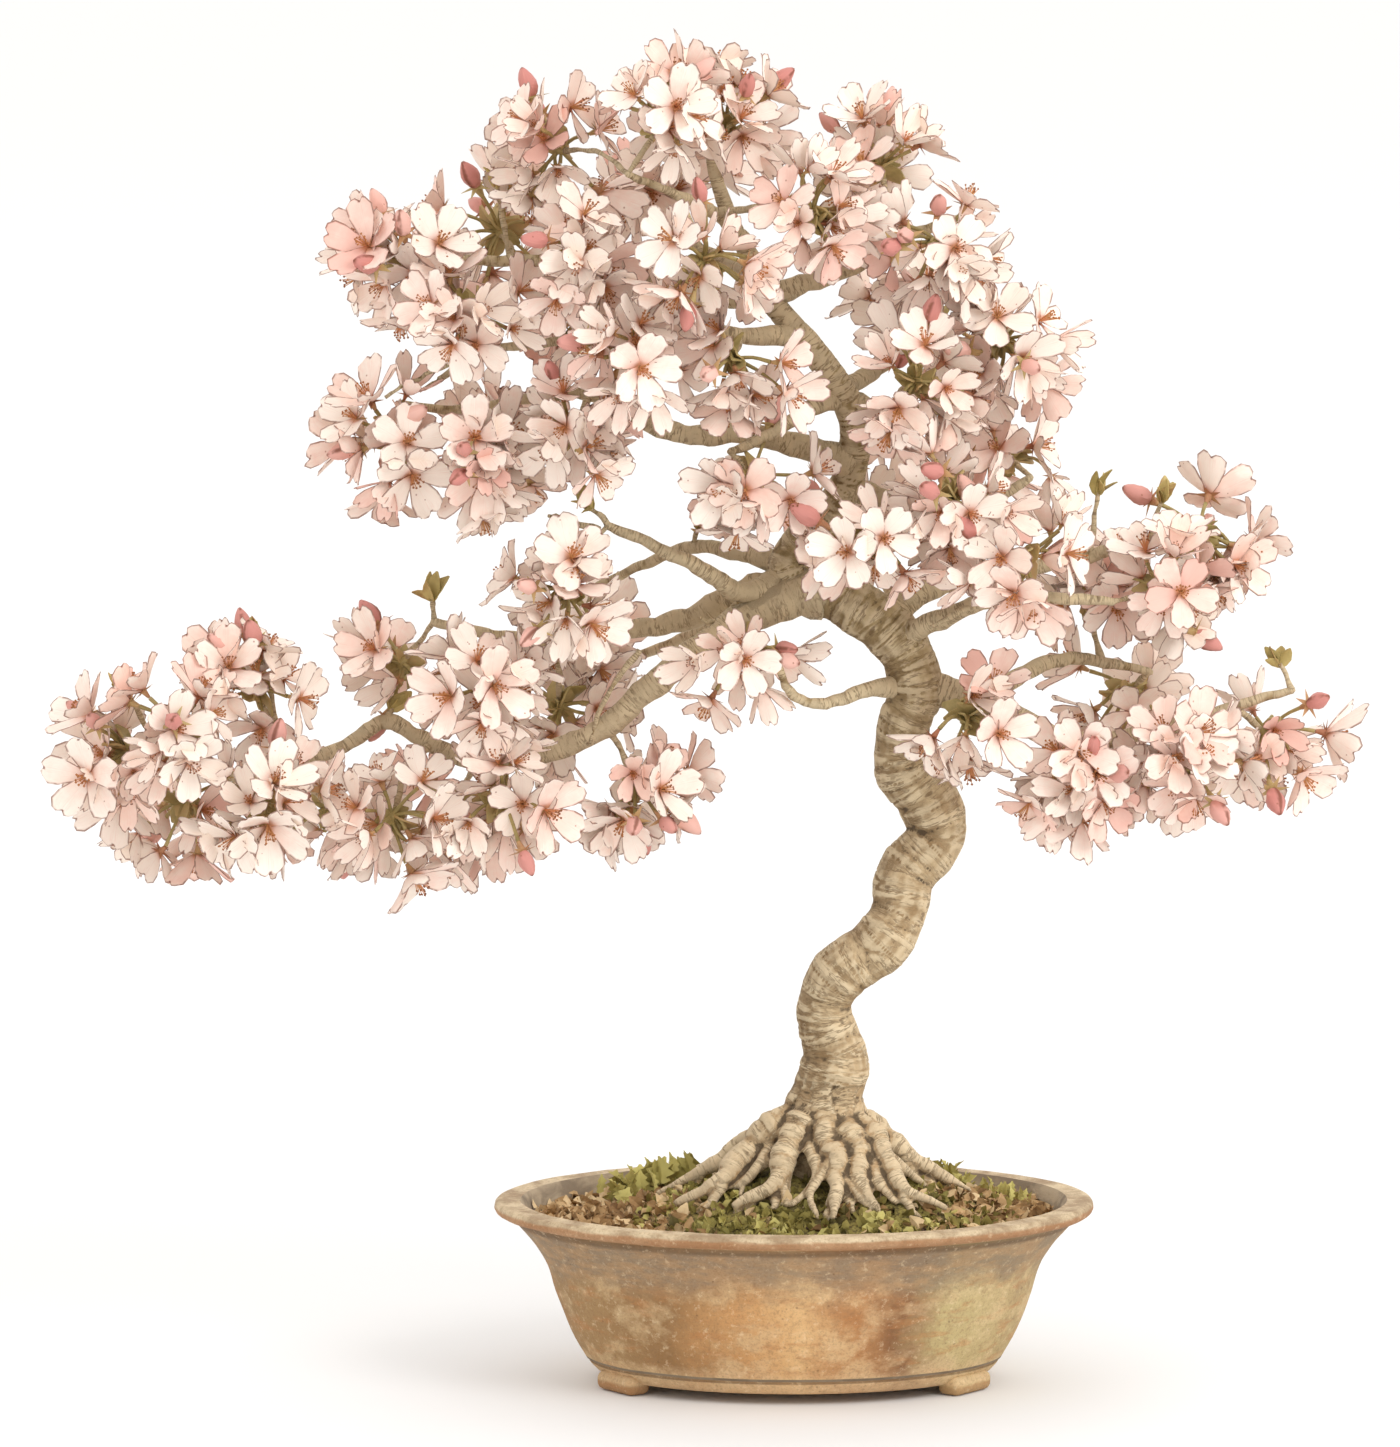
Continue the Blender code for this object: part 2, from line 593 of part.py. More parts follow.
def wall_outline():
    """The pot's outer wall from the foot ring to the lip, as (half length, height) pairs."""
    base, length = BASE_LENGTH / 2, POT_LENGTH / 2
    lip = POT_HEIGHT - LIP_HEIGHT
    return [
        (base - 0.004, FOOT_HEIGHT),
        (base + 0.002, FOOT_HEIGHT + 0.0015),
        (base + 0.006, FOOT_HEIGHT + 0.006),
        (base + 0.0184, POT_HEIGHT * 0.50),
        (base + 0.0217, NECK_HEIGHT),
        (base + 0.0330, lip - 0.005),
        (length - 0.0022, lip),
        (length, POT_HEIGHT - 0.002),
        (length - 0.0018, POT_HEIGHT),
    ]


def inner_outline():
    """The pot's inner wall from the lip down to the floor."""
    base, length = BASE_LENGTH / 2, POT_LENGTH / 2
    return [
        (length - LIP_WIDTH, POT_HEIGHT),
        (length - LIP_WIDTH - 0.0016, POT_HEIGHT - 0.002),
        (base + 0.0330 - WALL, POT_HEIGHT - LIP_HEIGHT - 0.007),
        (base + 0.0217 - WALL, NECK_HEIGHT),
        (base + 0.0184 - WALL, POT_HEIGHT * 0.50),
        (base + 0.0015, FLOOR_TOP + 0.003),
        (base - 0.0020, FLOOR_TOP),
    ]


def inner_half_length(z):
    """Half length of the pot's inside at a height."""
    points = sorted((height, half) for half, height in inner_outline())
    for (z0, h0), (z1, h1) in zip(points, points[1:]):
        if z0 <= z <= z1 and z1 > z0:
            return h0 + (h1 - h0) * (z - z0) / (z1 - z0)
    return points[-1][1]


def foot_places():
    """Middle and turn of each foot, on the base oval."""
    half_length = BASE_LENGTH / 2
    half_depth = half_length * POT_DEPTH / POT_LENGTH
    for side in (1, -1):
        for end in (1, -1):
            angle = math.atan2(side * math.sin(FOOT_TURN), end * math.cos(FOOT_TURN))
            place = Vector((half_length * math.cos(angle), half_depth * math.sin(angle), 0))
            tangent = Vector((-half_length * math.sin(angle), half_depth * math.cos(angle), 0))
            yield place, math.atan2(tangent.y, tangent.x)


def build_pot(finish):
    """The oval pot with a turned-out lip, four feet and two drain holes."""
    body = oval_solid("pot", wall_outline() + inner_outline())
    feet = []
    for place, turn in foot_places():
        shape = bmesh.new()
        bmesh.ops.create_cube(shape, size=1)
        size = Matrix.Diagonal((FOOT_LENGTH, FOOT_DEPTH, FOOT_HEIGHT + 0.0035, 1))
        upright = [e for e in shape.edges if abs(e.verts[0].co.z - e.verts[1].co.z) > 0.5]
        bmesh.ops.transform(shape, matrix=size, verts=shape.verts)
        bmesh.ops.bevel(shape, geom=upright, offset=0.003, segments=2, profile=0.5, affect="EDGES")
        lift = Matrix.Translation(place + Vector((0, 0, (FOOT_HEIGHT + 0.0035) / 2)))
        bmesh.ops.transform(shape, matrix=lift @ Matrix.Rotation(turn, 4, "Z"), verts=shape.verts)
        foot = bpy.data.meshes.new("foot")
        shape.to_mesh(foot)
        shape.free()
        feet.append(foot)
    pot = joined("pot", [body, *feet], finish)
    for side in (1, -1):
        centre = Vector((side * DRAIN_SPACING / 2, 0, 0))
        hole = [(centre - Vector((0, 0, 0.01)), DRAIN_RADIUS), (centre + Vector((0, 0, 0.03)), DRAIN_RADIUS)]
        cut_with(pot, tube_mesh("hole", hole, 14))
    return pot


def cut_with(obj, cutter_mesh):
    """Cuts a shape out of an object and removes the cutter."""
    cutter = bpy.data.objects.new("cutter", cutter_mesh)
    bpy.context.scene.collection.objects.link(cutter)
    cut = obj.modifiers.new("cut", "BOOLEAN")
    cut.operation = "DIFFERENCE"
    cut.object = cutter
    graph = bpy.context.evaluated_depsgraph_get()
    mesh = bpy.data.meshes.new_from_object(obj.evaluated_get(graph))
    obj.modifiers.clear()
    finish = obj.data.materials[0]
    obj.data = mesh
    obj.data.materials.clear()
    obj.data.materials.append(finish)
    bpy.data.objects.remove(cutter)


def build_screens(finish):
    """A square plastic mesh over each drain hole, which keeps the soil in."""
    for name, side in (("drain_screen_left", -1), ("drain_screen_right", 1)):
        bottom = FLOOR_TOP + GAP
        half = SCREEN_SIDE / 2
        shape = bmesh.new()
        bmesh.ops.create_grid(shape, x_segments=5, y_segments=5, size=half)
        opened = [f for f in shape.faces if is_opening(f.calc_center_median(), half)]
        bmesh.ops.delete(shape, geom=opened, context="FACES")
        lifted = bmesh.ops.extrude_face_region(shape, geom=list(shape.faces))
        top = [v for v in lifted["geom"] if isinstance(v, bmesh.types.BMVert)]
        bmesh.ops.translate(shape, verts=top, vec=(0, 0, SCREEN_THICKNESS))
        bmesh.ops.recalc_face_normals(shape, faces=shape.faces)
        bmesh.ops.translate(shape, verts=shape.verts, vec=(side * DRAIN_SPACING / 2, 0, bottom))
        mesh = bpy.data.meshes.new(name)
        shape.to_mesh(mesh)
        shape.free()
        new_object(name, mesh, finish)


def is_opening(centre, half):
    """The screen's holes are the odd squares of a five by five grid."""
    column = round((centre.x + half) / (2 * half / 5) - 0.5)
    row = round((centre.y + half) / (2 * half / 5) - 0.5)
    return column % 2 == 1 and row % 2 == 1


def build_soil(finish):
    """Potting soil that fills the pot under the moss, with a plain hole for the stump."""
    bottom = FLOOR_TOP + 2 * GAP + SCREEN_THICKNESS
    margin = GAP + 0.0002
    levels = [bottom, POT_HEIGHT * 0.50, NECK_HEIGHT, SOIL_TOP]
    outline = [(inner_half_length(z) - margin / (POT_DEPTH / POT_LENGTH) - 0.0004, z) for z in levels]
    soil = new_object("soil", oval_solid("soil", outline), finish)
    cut_with(soil, stump_hole())
    return soil


def stump_hole():
    """The plain round hole that the stump stands in."""
    base = seen(*TRUNK[0][:3])
    wide = STUMP_RADIUS + 0.0006
    narrow = STUMP_RADIUS * 0.86 + 0.0006
    hole = [
        (Vector((base.x, base.y, STUMP_BOTTOM - GAP)), narrow),
        (Vector((base.x, base.y, MOUND_TOP - 0.004)), wide),
        (Vector((base.x, base.y, MOUND_TOP + 0.02)), wide),
    ]
    return tube_mesh("hole", hole, TRUNK_SIDES)


def build_moss(finish):
    """A mound of moss in low cushions, from the trunk to the pot's wall."""
    rings = [0.30, 0.52, 0.72, 0.88, 1.0]
    bottom = SOIL_TOP + GAP
    edge = inner_half_length(MOUND_EDGE - 0.0026) - 0.0008
    squash = POT_DEPTH / POT_LENGTH
    base = seen(*TRUNK[0][:3])
    verts = [Vector((base.x, base.y, MOUND_TOP - 0.001))]
    for share in rings:
        for point in oval_ring(edge * share, 0):
            x = point.x + base.x * (1 - share)
            y = point.y + base.y * (1 - share)
            cushion = 0.0012 * (math.sin(x * 260 + 1.3 * math.sin(y * 210)) * math.cos(y * 290) - 1)
            verts.append(Vector((x, y, mound_height(x, y) + cushion)))
    low = inner_half_length(bottom) - 0.0012
    verts += [Vector((p.x, p.y, bottom)) for p in oval_ring(low, 0)]
    verts.append(Vector((0, 0, bottom)))
    n = OVAL_SIDES
    faces = []
    for k in range(n):
        m = (k + 1) % n
        faces.append((0, 1 + k, 1 + m))
        for ring in range(len(rings)):
            start = 1 + ring * n
            faces.append((start + k, start + n + k, start + n + m, start + m))
        faces.append((1 + len(rings) * n + k, len(verts) - 1, 1 + len(rings) * n + m))
    moss = new_object("moss", mesh_from("moss", verts, faces), finish)
    cut_with(moss, stump_hole())
    return moss


def centre_on_origin():
    """Moves everything so that the origin lies under the middle of the whole tree's box."""
    points = [v.co for obj in bpy.data.objects if obj.type == "MESH" for v in obj.data.vertices]
    middle = [(min(p[k] for p in points) + max(p[k] for p in points)) / 2 for k in (0, 1)]
    shift = Matrix.Translation((-middle[0], -middle[1], 0))
    for obj in bpy.data.objects:
        if obj.type == "MESH":
            obj.data.transform(shift)


def main():
    clear_scene()
    pink = material("petal", (0.94, 0.68, 0.66), 0.55)
    bark = material("bark", (0.42, 0.34, 0.22), 0.85)
    green = material("moss", (0.30, 0.30, 0.10), 0.95)
    earth = material("soil", (0.16, 0.10, 0.06), 0.95)
    stoneware = material("stoneware", (0.58, 0.42, 0.26), 0.6)
    plastic = material("screen", (0.05, 0.05, 0.05), 0.5)
    rng = random.Random(SEED)
    lines = wood_lines()
    tufts = tuft_plan(lines)
    plan = place_blooms(spray_plan(lines, rng), tufts, lines, rng)
    build_pot(stoneware)
    build_screens(plastic)
    build_soil(earth)
    build_moss(green)
    build_tree(lines, plan, tufts, rng, bark)
    build_sprays(plan, pink)
    centre_on_origin()
    open_count = sum(len(item["flowers"]) for item in plan)
    print("blooms", open_count, "buds", sum(len(item["closed"]) for item in plan))


main()
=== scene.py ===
"""The looks of a cherry blossom bonsai: finished meshes, materials, a pale floor and soft studio light."""

import functools
import math
import random

import bpy
import numpy as np
from mathutils import Matrix, Vector, noise
from mathutils.kdtree import KDTree


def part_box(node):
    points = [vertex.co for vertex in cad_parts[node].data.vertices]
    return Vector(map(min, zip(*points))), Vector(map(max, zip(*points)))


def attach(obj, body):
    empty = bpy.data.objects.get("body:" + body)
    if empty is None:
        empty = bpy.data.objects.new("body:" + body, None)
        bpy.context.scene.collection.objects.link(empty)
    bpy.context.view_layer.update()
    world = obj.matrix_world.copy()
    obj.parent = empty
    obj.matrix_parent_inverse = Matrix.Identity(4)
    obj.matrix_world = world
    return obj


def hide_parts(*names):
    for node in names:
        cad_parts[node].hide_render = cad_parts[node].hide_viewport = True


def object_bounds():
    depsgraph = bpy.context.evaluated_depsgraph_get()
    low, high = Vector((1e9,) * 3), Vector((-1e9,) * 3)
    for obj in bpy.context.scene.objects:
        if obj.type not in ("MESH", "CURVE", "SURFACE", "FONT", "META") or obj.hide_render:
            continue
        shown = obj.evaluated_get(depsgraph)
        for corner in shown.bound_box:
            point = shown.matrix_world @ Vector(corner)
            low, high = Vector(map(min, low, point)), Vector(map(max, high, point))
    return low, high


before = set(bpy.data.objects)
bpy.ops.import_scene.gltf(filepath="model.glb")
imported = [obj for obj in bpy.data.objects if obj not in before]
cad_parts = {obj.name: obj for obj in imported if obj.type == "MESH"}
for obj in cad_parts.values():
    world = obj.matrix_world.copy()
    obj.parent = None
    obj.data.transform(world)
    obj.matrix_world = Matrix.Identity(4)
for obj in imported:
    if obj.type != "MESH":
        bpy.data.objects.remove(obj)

bl_info = {
    "name": "Cherry Blossom Bonsai Finish",
    "version": (1, 0, 0),
    "blender": (4, 5, 0),
    "location": "View3D > Sidebar > Bonsai",
    "description": "Models and finishes a cherry blossom bonsai in an oval stoneware pot",
    "category": "Object",
}

CAD_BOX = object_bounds()
POT_LOW, POT_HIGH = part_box("pot")
SHIFT = Vector(((POT_LOW.x + POT_HIGH.x) / 2, (POT_LOW.y + POT_HIGH.y) / 2, 0))

# Sizes that the frame's layout is drawn with, in metres
POT_LENGTH = POT_HIGH.x - POT_LOW.x
POT_DEPTH = POT_HIGH.y - POT_LOW.y
POT_HEIGHT = POT_HIGH.z - POT_LOW.z
SQUASH = POT_DEPTH / POT_LENGTH
LIP_HEIGHT = 0.0052
NECK_HEIGHT = 0.0475
LIP_WIDTH = 0.0105
WALL = 0.0055
FLOOR_TOP = 0.011
FOOT_HEIGHT = 0.0042
FOOT_LENGTH = 0.024
FOOT_DEPTH = 0.011
FOOT_TURN = 0.48
BASE_LENGTH = 0.154
DRAIN_RADIUS = 0.008
DRAIN_SPACING = 0.078
SOIL_TOP = 0.0610
MOUND_TOP = 0.0885
MOUND_EDGE = 0.0665
STUMP_RADIUS = 0.0175
STUMP_BOTTOM = 0.0445
BLOOM_RADIUS = 0.0188
STALK_LENGTH = 0.0205
SHORT_TWIG = 0.022
HUB_RADIUS = 0.0030
BUD_LENGTH = 0.011
BUD_RADIUS = 0.0035
GAP = 0.00032
LOWEST_TWIG = 0.2045
SPRAYS_APART = 0.0070
BLOOM_TRIES = 90

# How the photograph's places become sizes: one pixel in metres, the pot's axis, the surface, the view's tilt
PIXEL = 0.00040
POT_AXIS_COLUMN = 794
SURFACE_ROW = 1381
VIEW_TILT = math.radians(10)
PHOTO_WIDTH = 1400
PHOTO_HEIGHT = 1447

SEED = 41
# About a full turn, for pieces that lie at any angle
ANY_TURN = 6.28

# Centrelines: column and row of the photograph, depth behind the pot's axis and radius in millimetres
TRUNK = [
    (824, 1128, 0, 17.0), (828, 1092, -1, 15.0), (836, 1056, -2, 13.0), (824, 1012, -4, 11.9),
    (838, 974, -6, 11.6), (880, 944, -6, 11.6), (900, 908, -3, 11.4), (906, 874, 1, 11.6),
    (938, 836, 4, 12.0), (928, 800, 4, 12.0), (904, 764, 2, 11.6), (904, 726, -1, 11.2),
    (916, 690, -3, 11.0), (904, 650, -3, 10.9), (874, 618, -2, 10.6), (838, 598, 0, 10.0),
    (806, 590, 2, 9.4), (788, 566, 4, 8.2), (806, 534, 5, 7.6), (836, 504, 4, 7.0), (852, 466, 1, 6.6),
    (853, 424, -3, 6.3), (838, 386, -6, 5.8), (808, 344, -6, 5.2), (774, 304, -4, 4.8), (752, 262, 0, 4.2),
    (728, 214, 3, 3.4), (712, 160, 2, 2.5), (716, 112, 0, 1.5),
]
BOUGHS = {
    "lower_left": [
        (812, 592, 0, 8.6), (768, 606, -4, 7.6), (716, 640, -9, 6.6), (660, 680, -12, 5.6),
        (606, 726, -12, 4.8), (548, 752, -8, 4.2), (486, 762, -4, 3.8), (430, 744, 0, 3.4),
        (386, 722, 2, 3.2), (344, 746, 2, 2.8), (286, 768, 0, 2.4), (228, 776, -2, 1.9),
        (166, 764, -2, 1.4),
    ],
    "upper_left": [
        (826, 588, 0, 7.0), (776, 584, 8, 6.4), (728, 600, 14, 5.4), (676, 622, 17, 4.4),
        (610, 632, 16, 3.6), (548, 640, 12, 3.0), (486, 634, 8, 2.4), (434, 622, 6, 1.7),
    ],
    "left_reach": [
        (786, 576, 3, 5.0), (744, 592, -8, 4.2), (706, 572, -15, 3.4), (660, 548, -19, 2.6),
        (608, 526, -20, 1.7),
    ],
    "left_back_reach": [
        (790, 566, 6, 4.6), (740, 552, 22, 3.4), (690, 548, 36, 2.6), (640, 566, 46, 2.0),
        (590, 590, 52, 1.5),
    ],
    "middle_left": [
        (852, 464, 0, 5.6), (800, 446, -4, 5.0), (744, 434, -8, 4.6), (690, 436, -10, 4.2),
        (636, 418, -8, 3.6), (590, 394, -4, 3.0), (530, 398, 0, 2.4), (460, 410, 4, 2.0),
        (404, 404, 6, 1.5),
    ],
    "middle_cross": [
        (850, 396, -4, 4.0), (806, 412, -15, 3.2), (766, 438, -23, 2.4), (730, 452, -29, 1.6),
    ],
    "crown_left": [
        (770, 300, -4, 4.2), (706, 296, 3, 3.6), (642, 274, 9, 3.2), (576, 258, 12, 2.8),
        (510, 262, 12, 2.4), (454, 262, 8, 2.0), (416, 282, 3, 1.4),
    ],
    "crown_low_left": [
        (800, 336, -6, 4.0), (740, 336, -17, 3.4), (676, 330, -25, 2.8), (610, 336, -28, 2.3),
        (550, 344, -25, 1.9), (488, 352, -18, 1.6), (440, 380, -12, 1.3),
    ],
    "crown_right": [
        (768, 296, -4, 4.2), (812, 282, -2, 3.8), (860, 264, 4, 3.2), (908, 236, 7, 2.6),
        (962, 218, 6, 1.7),
    ],
    "crown_back": [
        (756, 272, 0, 4.0), (736, 268, 26, 3.2), (704, 250, 50, 2.5), (672, 226, 70, 1.8),
    ],
    "crown_front": [
        (746, 246, 1, 3.2), (716, 214, -18, 2.6), (676, 196, -33, 2.0), (628, 176, -42, 1.5),
    ],
    "right_shoulder": [
        (853, 404, -4, 4.2), (896, 414, -3, 3.6), (942, 404, 2, 3.0), (984, 368, 8, 2.4),
        (1010, 330, 10, 1.7),
    ],
    "right_shoulder_back": [
        (842, 390, -5, 3.8), (872, 372, 22, 3.0), (904, 346, 46, 2.4), (930, 316, 62, 1.7),
    ],
    "right_arm": [
        (846, 488, 3, 4.8), (890, 500, -2, 4.0), (940, 512, -9, 3.2), (990, 500, -12, 2.5),
        (1030, 478, -12, 1.6),
    ],
    "right_middle": [
        (884, 628, -2, 6.0), (916, 596, 6, 5.0), (968, 576, 13, 4.2), (1030, 568, 16, 3.5),
        (1090, 556, 14, 2.8), (1150, 538, 10, 2.2), (1204, 528, 7, 1.5),
    ],
    "right_middle_low": [
        (898, 640, -3, 5.0), (938, 620, -14, 4.0), (990, 602, -22, 3.2), (1050, 598, -27, 2.6),
        (1112, 602, -26, 1.8),
    ],
    "right_low": [
        (910, 680, -3, 7.0), (962, 698, -3, 6.4), (1012, 716, -6, 5.4), (1060, 740, -8, 4.4),
        (1116, 738, -6, 3.4), (1176, 722, -4, 2.8), (1236, 706, -2, 2.2), (1292, 690, 0, 1.5),
    ],
    "right_low_back": [
        (960, 696, -2, 4.8), (1012, 680, 9, 3.8), (1056, 660, 18, 3.0), (1104, 662, 26, 2.2),
        (1150, 672, 32, 1.6),
    ],
    "back_arm": [
        (912, 668, -3, 5.0), (916, 640, 26, 4.0), (900, 612, 52, 3.2), (884, 576, 74, 2.4),
        (866, 540, 86, 1.7),
    ],
    "bare_twig": [
        (908, 686, -3, 4.4), (866, 690, -15, 3.2), (822, 704, -21, 2.4), (788, 690, -24, 1.9),
        (776, 652, -25, 1.4),
    ],
    "back_left_arm": [
        (806, 590, 3, 5.2), (764, 600, 32, 4.0), (716, 622, 56, 3.0), (660, 648, 74, 2.2),
        (604, 664, 84, 1.6),
    ],
}

# Sprays: column and row of the hub, depth in millimetres, number of blooms and of buds
SPRAYS = [
    (128, 752, -4, 4, 1), (176, 730, -30, 4, 0), (184, 800, 16, 5, 1), (256, 692, -8, 4, 2),
    (262, 800, -36, 4, 0), (330, 806, 14, 5, 0), (392, 816, -34, 5, 0), (456, 800, 26, 5, 0),
    (504, 800, -30, 4, 0), (402, 664, 14, 3, 1), (486, 692, -34, 5, 0), (560, 706, 28, 4, 0),
    (566, 592, -34, 5, 0), (582, 636, 58, 4, 0), (634, 784, -14, 4, 2), (742, 650, -16, 2, 1),
    (394, 440, -6, 4, 2), (474, 458, -26, 5, 0), (508, 444, 32, 4, 0), (572, 430, -36, 4, 0),
    (752, 476, -30, 4, 0), (408, 266, -8, 5, 1), (472, 316, -30, 5, 0), (500, 232, 38, 4, 1),
    (560, 150, -4, 5, 1), (580, 262, -40, 5, 0), (588, 308, 40, 4, 0), (636, 352, -56, 5, 0),
    (664, 192, 62, 4, 0), (660, 128, -32, 4, 0), (728, 132, 14, 4, 2), (704, 262, -60, 5, 0),
    (734, 360, -52, 5, 0), (812, 216, -34, 5, 0), (880, 172, 22, 4, 2), (938, 244, -22, 4, 2),
    (928, 316, 48, 5, 0), (1000, 342, -8, 5, 1), (916, 382, -34, 5, 0), (868, 540, -36, 4, 0),
    (952, 498, -40, 5, 0), (868, 520, 78, 4, 0), (1010, 458, 8, 4, 1), (1020, 560, -46, 5, 0),
    (1096, 598, 34, 5, 0), (1160, 590, -14, 5, 0), (1200, 534, 16, 4, 2), (966, 716, -26, 3, 0),
    (1078, 772, -22, 5, 0), (1130, 690, 38, 4, 0), (1180, 758, -24, 5, 0), (1266, 734, 4, 5, 2),
]

# Points of a plain petal: turn in fifths of a circle, share of the bloom's radius, share of its cup
PETAL_SAMPLES = [
    (-0.5, 0.42, 0.2), (-0.33, 0.95, 0.9), (0.0, 0.89, 1.0), (0.33, 0.95, 0.9),
    (-0.41, 0.66, 0.55), (0.41, 0.66, 0.55), (0.0, 0.55, 0.5),
]

# Twig ends that carry a tuft of young leaves: photograph column and row of the tip, depth in millimetres
TUFTS = [
    (590, 508, -20), (700, 528, 30), (126, 690, -8), (258, 640, -10), (432, 598, 8), (392, 708, 4),
    (496, 186, 20), (1098, 492, 12), (1162, 500, 8), (1280, 664, 2),
]

# Thin bare twigs that the blossoms don't hide: photograph column, row, depth and radius as above
BARE_TWIGS = [
    [(492, 346, -20, 1.3), (448, 366, -22, 1.1), (412, 382, -22, 0.9), (386, 398, -20, 0.7)],
    [(470, 356, -20, 1.1), (440, 380, -16, 0.9), (420, 392, -14, 0.6)],
    [(926, 240, 6, 1.2), (942, 262, 6, 1.0), (948, 290, 8, 0.7)],
    [(600, 530, -20, 1.4), (566, 520, -20, 1.2), (548, 516, -20, 0.8)],
    [(640, 650, -12, 1.4), (610, 690, -14, 1.1), (590, 744, -16, 0.8)],
    [(1000, 600, -20, 1.6), (960, 612, -24, 1.3), (930, 628, -24, 1.0)],
    [(740, 600, 2, 1.2), (716, 622, -6, 1.0), (700, 618, -8, 0.7)],
]


def seen(column, row, depth_mm):
    """The place in space of a point of the photograph, at a depth behind the pot's axis."""
    depth = depth_mm / 1000
    across = (column - POT_AXIS_COLUMN) * PIXEL
    up = ((SURFACE_ROW - row) * PIXEL - depth * math.sin(VIEW_TILT)) / math.cos(VIEW_TILT)
    return Vector((across, depth, up))


def centreline(points, steps):
    """A smooth line through the given points: a list of (place, radius), with steps between each two."""
    knots = [(seen(c, r, d), radius / 1000) for c, r, d, radius in points]
    return smooth_line(knots, steps)


def smooth_line(knots, steps):
    """A Catmull-Rom line through knots of (place, radius)."""
    line = []
    for i in range(len(knots) - 1):
        before, here, there, after = (knots[max(0, min(len(knots) - 1, i + k))] for k in (-1, 0, 1, 2))
        for step in range(steps):
            t = step / steps
            line.append(tuple(blend4(before[k], here[k], there[k], after[k], t) for k in (0, 1)))
    line.append(knots[-1])
    return line


def blend4(a, b, c, d, t):
    """Catmull-Rom blend of four values."""
    return 0.5 * (2 * b + (c - a) * t + (2 * a - 5 * b + 4 * c - d) * t * t + (3 * b - a - 3 * c + d) * t**3)


def wood_lines():
    """Every stretch of wood, as lists of (place, radius): the trunk first, then the boughs."""
    lines = {"trunk": [(p, r * bark_swell(i)) for i, (p, r) in enumerate(centreline(TRUNK, 1))]}
    for name, points in BOUGHS.items():
        lines[name] = centreline(points, 1)
    return lines


def bark_swell(i):
    """Old bark swells and pinches along the trunk."""
    return 1 + 0.045 * math.sin(i * 3.8) + 0.025 * math.sin(i * 1.4 + 1)


def mound_height(x, y):
    """Height of the moss over the soil: highest at the trunk, low at the pot's wall."""
    base = seen(*TRUNK[0][:3])
    t = min(1.0, math.hypot((x - base.x) / 0.094, (y - base.y) / 0.066))
    return MOUND_EDGE + (MOUND_TOP - MOUND_EDGE) * math.cos(math.pi / 2 * t) ** 1.6


def level(angle):
    """A level direction, at an angle from the right."""
    return Vector((math.cos(angle), math.sin(angle), 0))


def root_lines(rng):
    """Surface roots that leave the trunk all round, bend over the mound and end on the moss."""
    base = seen(*TRUNK[0][:3])
    lines = []
    count = 12
    for i in range(count):
        angle = 2 * math.pi * (i + rng.uniform(-0.22, 0.22)) / count
        reach = (0.058 + rng.uniform(-0.006, 0.006)) * (1 - 0.22 * math.sin(angle) ** 2)
        if i in (6, 7):
            reach += 0.012
        thick = rng.uniform(0.0042, 0.0058)
        sway = rng.uniform(-0.2, 0.2)
        start = base + level(angle) * 0.006 + Vector((0, 0, 0.010))
        knots = [(start, thick)]
        bends = ((0.33, 1.15, 0.0105), (0.52, 0.92, 0.0062), (0.72, 0.62, 0.0026), (1.0, 0.26, 0.0006))
        for share, slim, lift in bends:
            turned = angle + sway * share + 0.10 * math.sin(share * 9 + i)
            across = level(turned) * reach * share
            place = base + across
            radius = thick * slim
            place.z = mound_height(place.x, place.y) + radius + lift + 0.0006
            knots.append((place, radius))
        lines.append(smooth_line(knots, 1))
    return lines


def nearest_on(lines, place):
    """The point of the wood that a twig to this place grows from: (point, radius)."""
    return min(
        ((p, r) for line in lines.values() for p, r in line if p.z > LOWEST_TWIG),
        key=lambda pair: (pair[0] - place).length - pair[1] * 0.6,
    )


def spray_plan(lines, rng):
    """Where each spray hangs: its hub, the way back along its twig, and the twig's line."""
    plan = []
    for column, row, depth, blooms, buds in SPRAYS:
        hub = seen(column, row, depth)
        root, radius = nearest_on(lines, hub)
        away = (hub - root).normalized()
        clear = radius + 0.0085
        if (hub - root).length < clear:
            hub = root + away * clear
        end = hub - away * (HUB_RADIUS + GAP)
        side = away.cross(Vector((rng.uniform(-1, 1), rng.uniform(-1, 1), 0.4))).normalized()
        length = (end - root).length
        middle = (root + end) / 2 + side * length * 0.10
        thick = max(0.0011, min(radius * 0.7, 0.0012 + length * 0.016))
        knots = [(root, thick), (middle, thick * 0.85), (end, 0.0012)]
        if length < SHORT_TWIG:
            knots = [(root, thick), (end, 0.0012)]
        plan.append({"hub": hub, "away": away, "twig": knots, "blooms": blooms, "buds": buds, "depth": depth})
    return plan


def tuft_plan(lines):
    """Where each tuft of young leaves grows: the foot of its twig, its tip and the way it points."""
    plan = []
    for column, row, depth in TUFTS:
        tip = seen(column, row, depth)
        root, _ = nearest_on(lines, tip)
        plan.append((root, tip, (tip - root).normalized()))
    return plan


def distance_to_line(place, line):
    """Clear distance from a place to a round stretch of wood."""
    best = 1.0
    for (a, ra), (b, rb) in zip(line, line[1:]):
        along = b - a
        t = max(0.0, min(1.0, (place - a).dot(along) / max(along.length_squared, 1e-12)))
        best = min(best, (place - a - along * t).length - ra - (rb - ra) * t)
    return best


def turned_frame(axis, roll):
    """Two directions square to an axis, turned round it by an angle."""
    side = axis.orthogonal().normalized()
    up = axis.cross(side)
    return side * math.cos(roll) + up * math.sin(roll), up * math.cos(roll) - side * math.sin(roll)


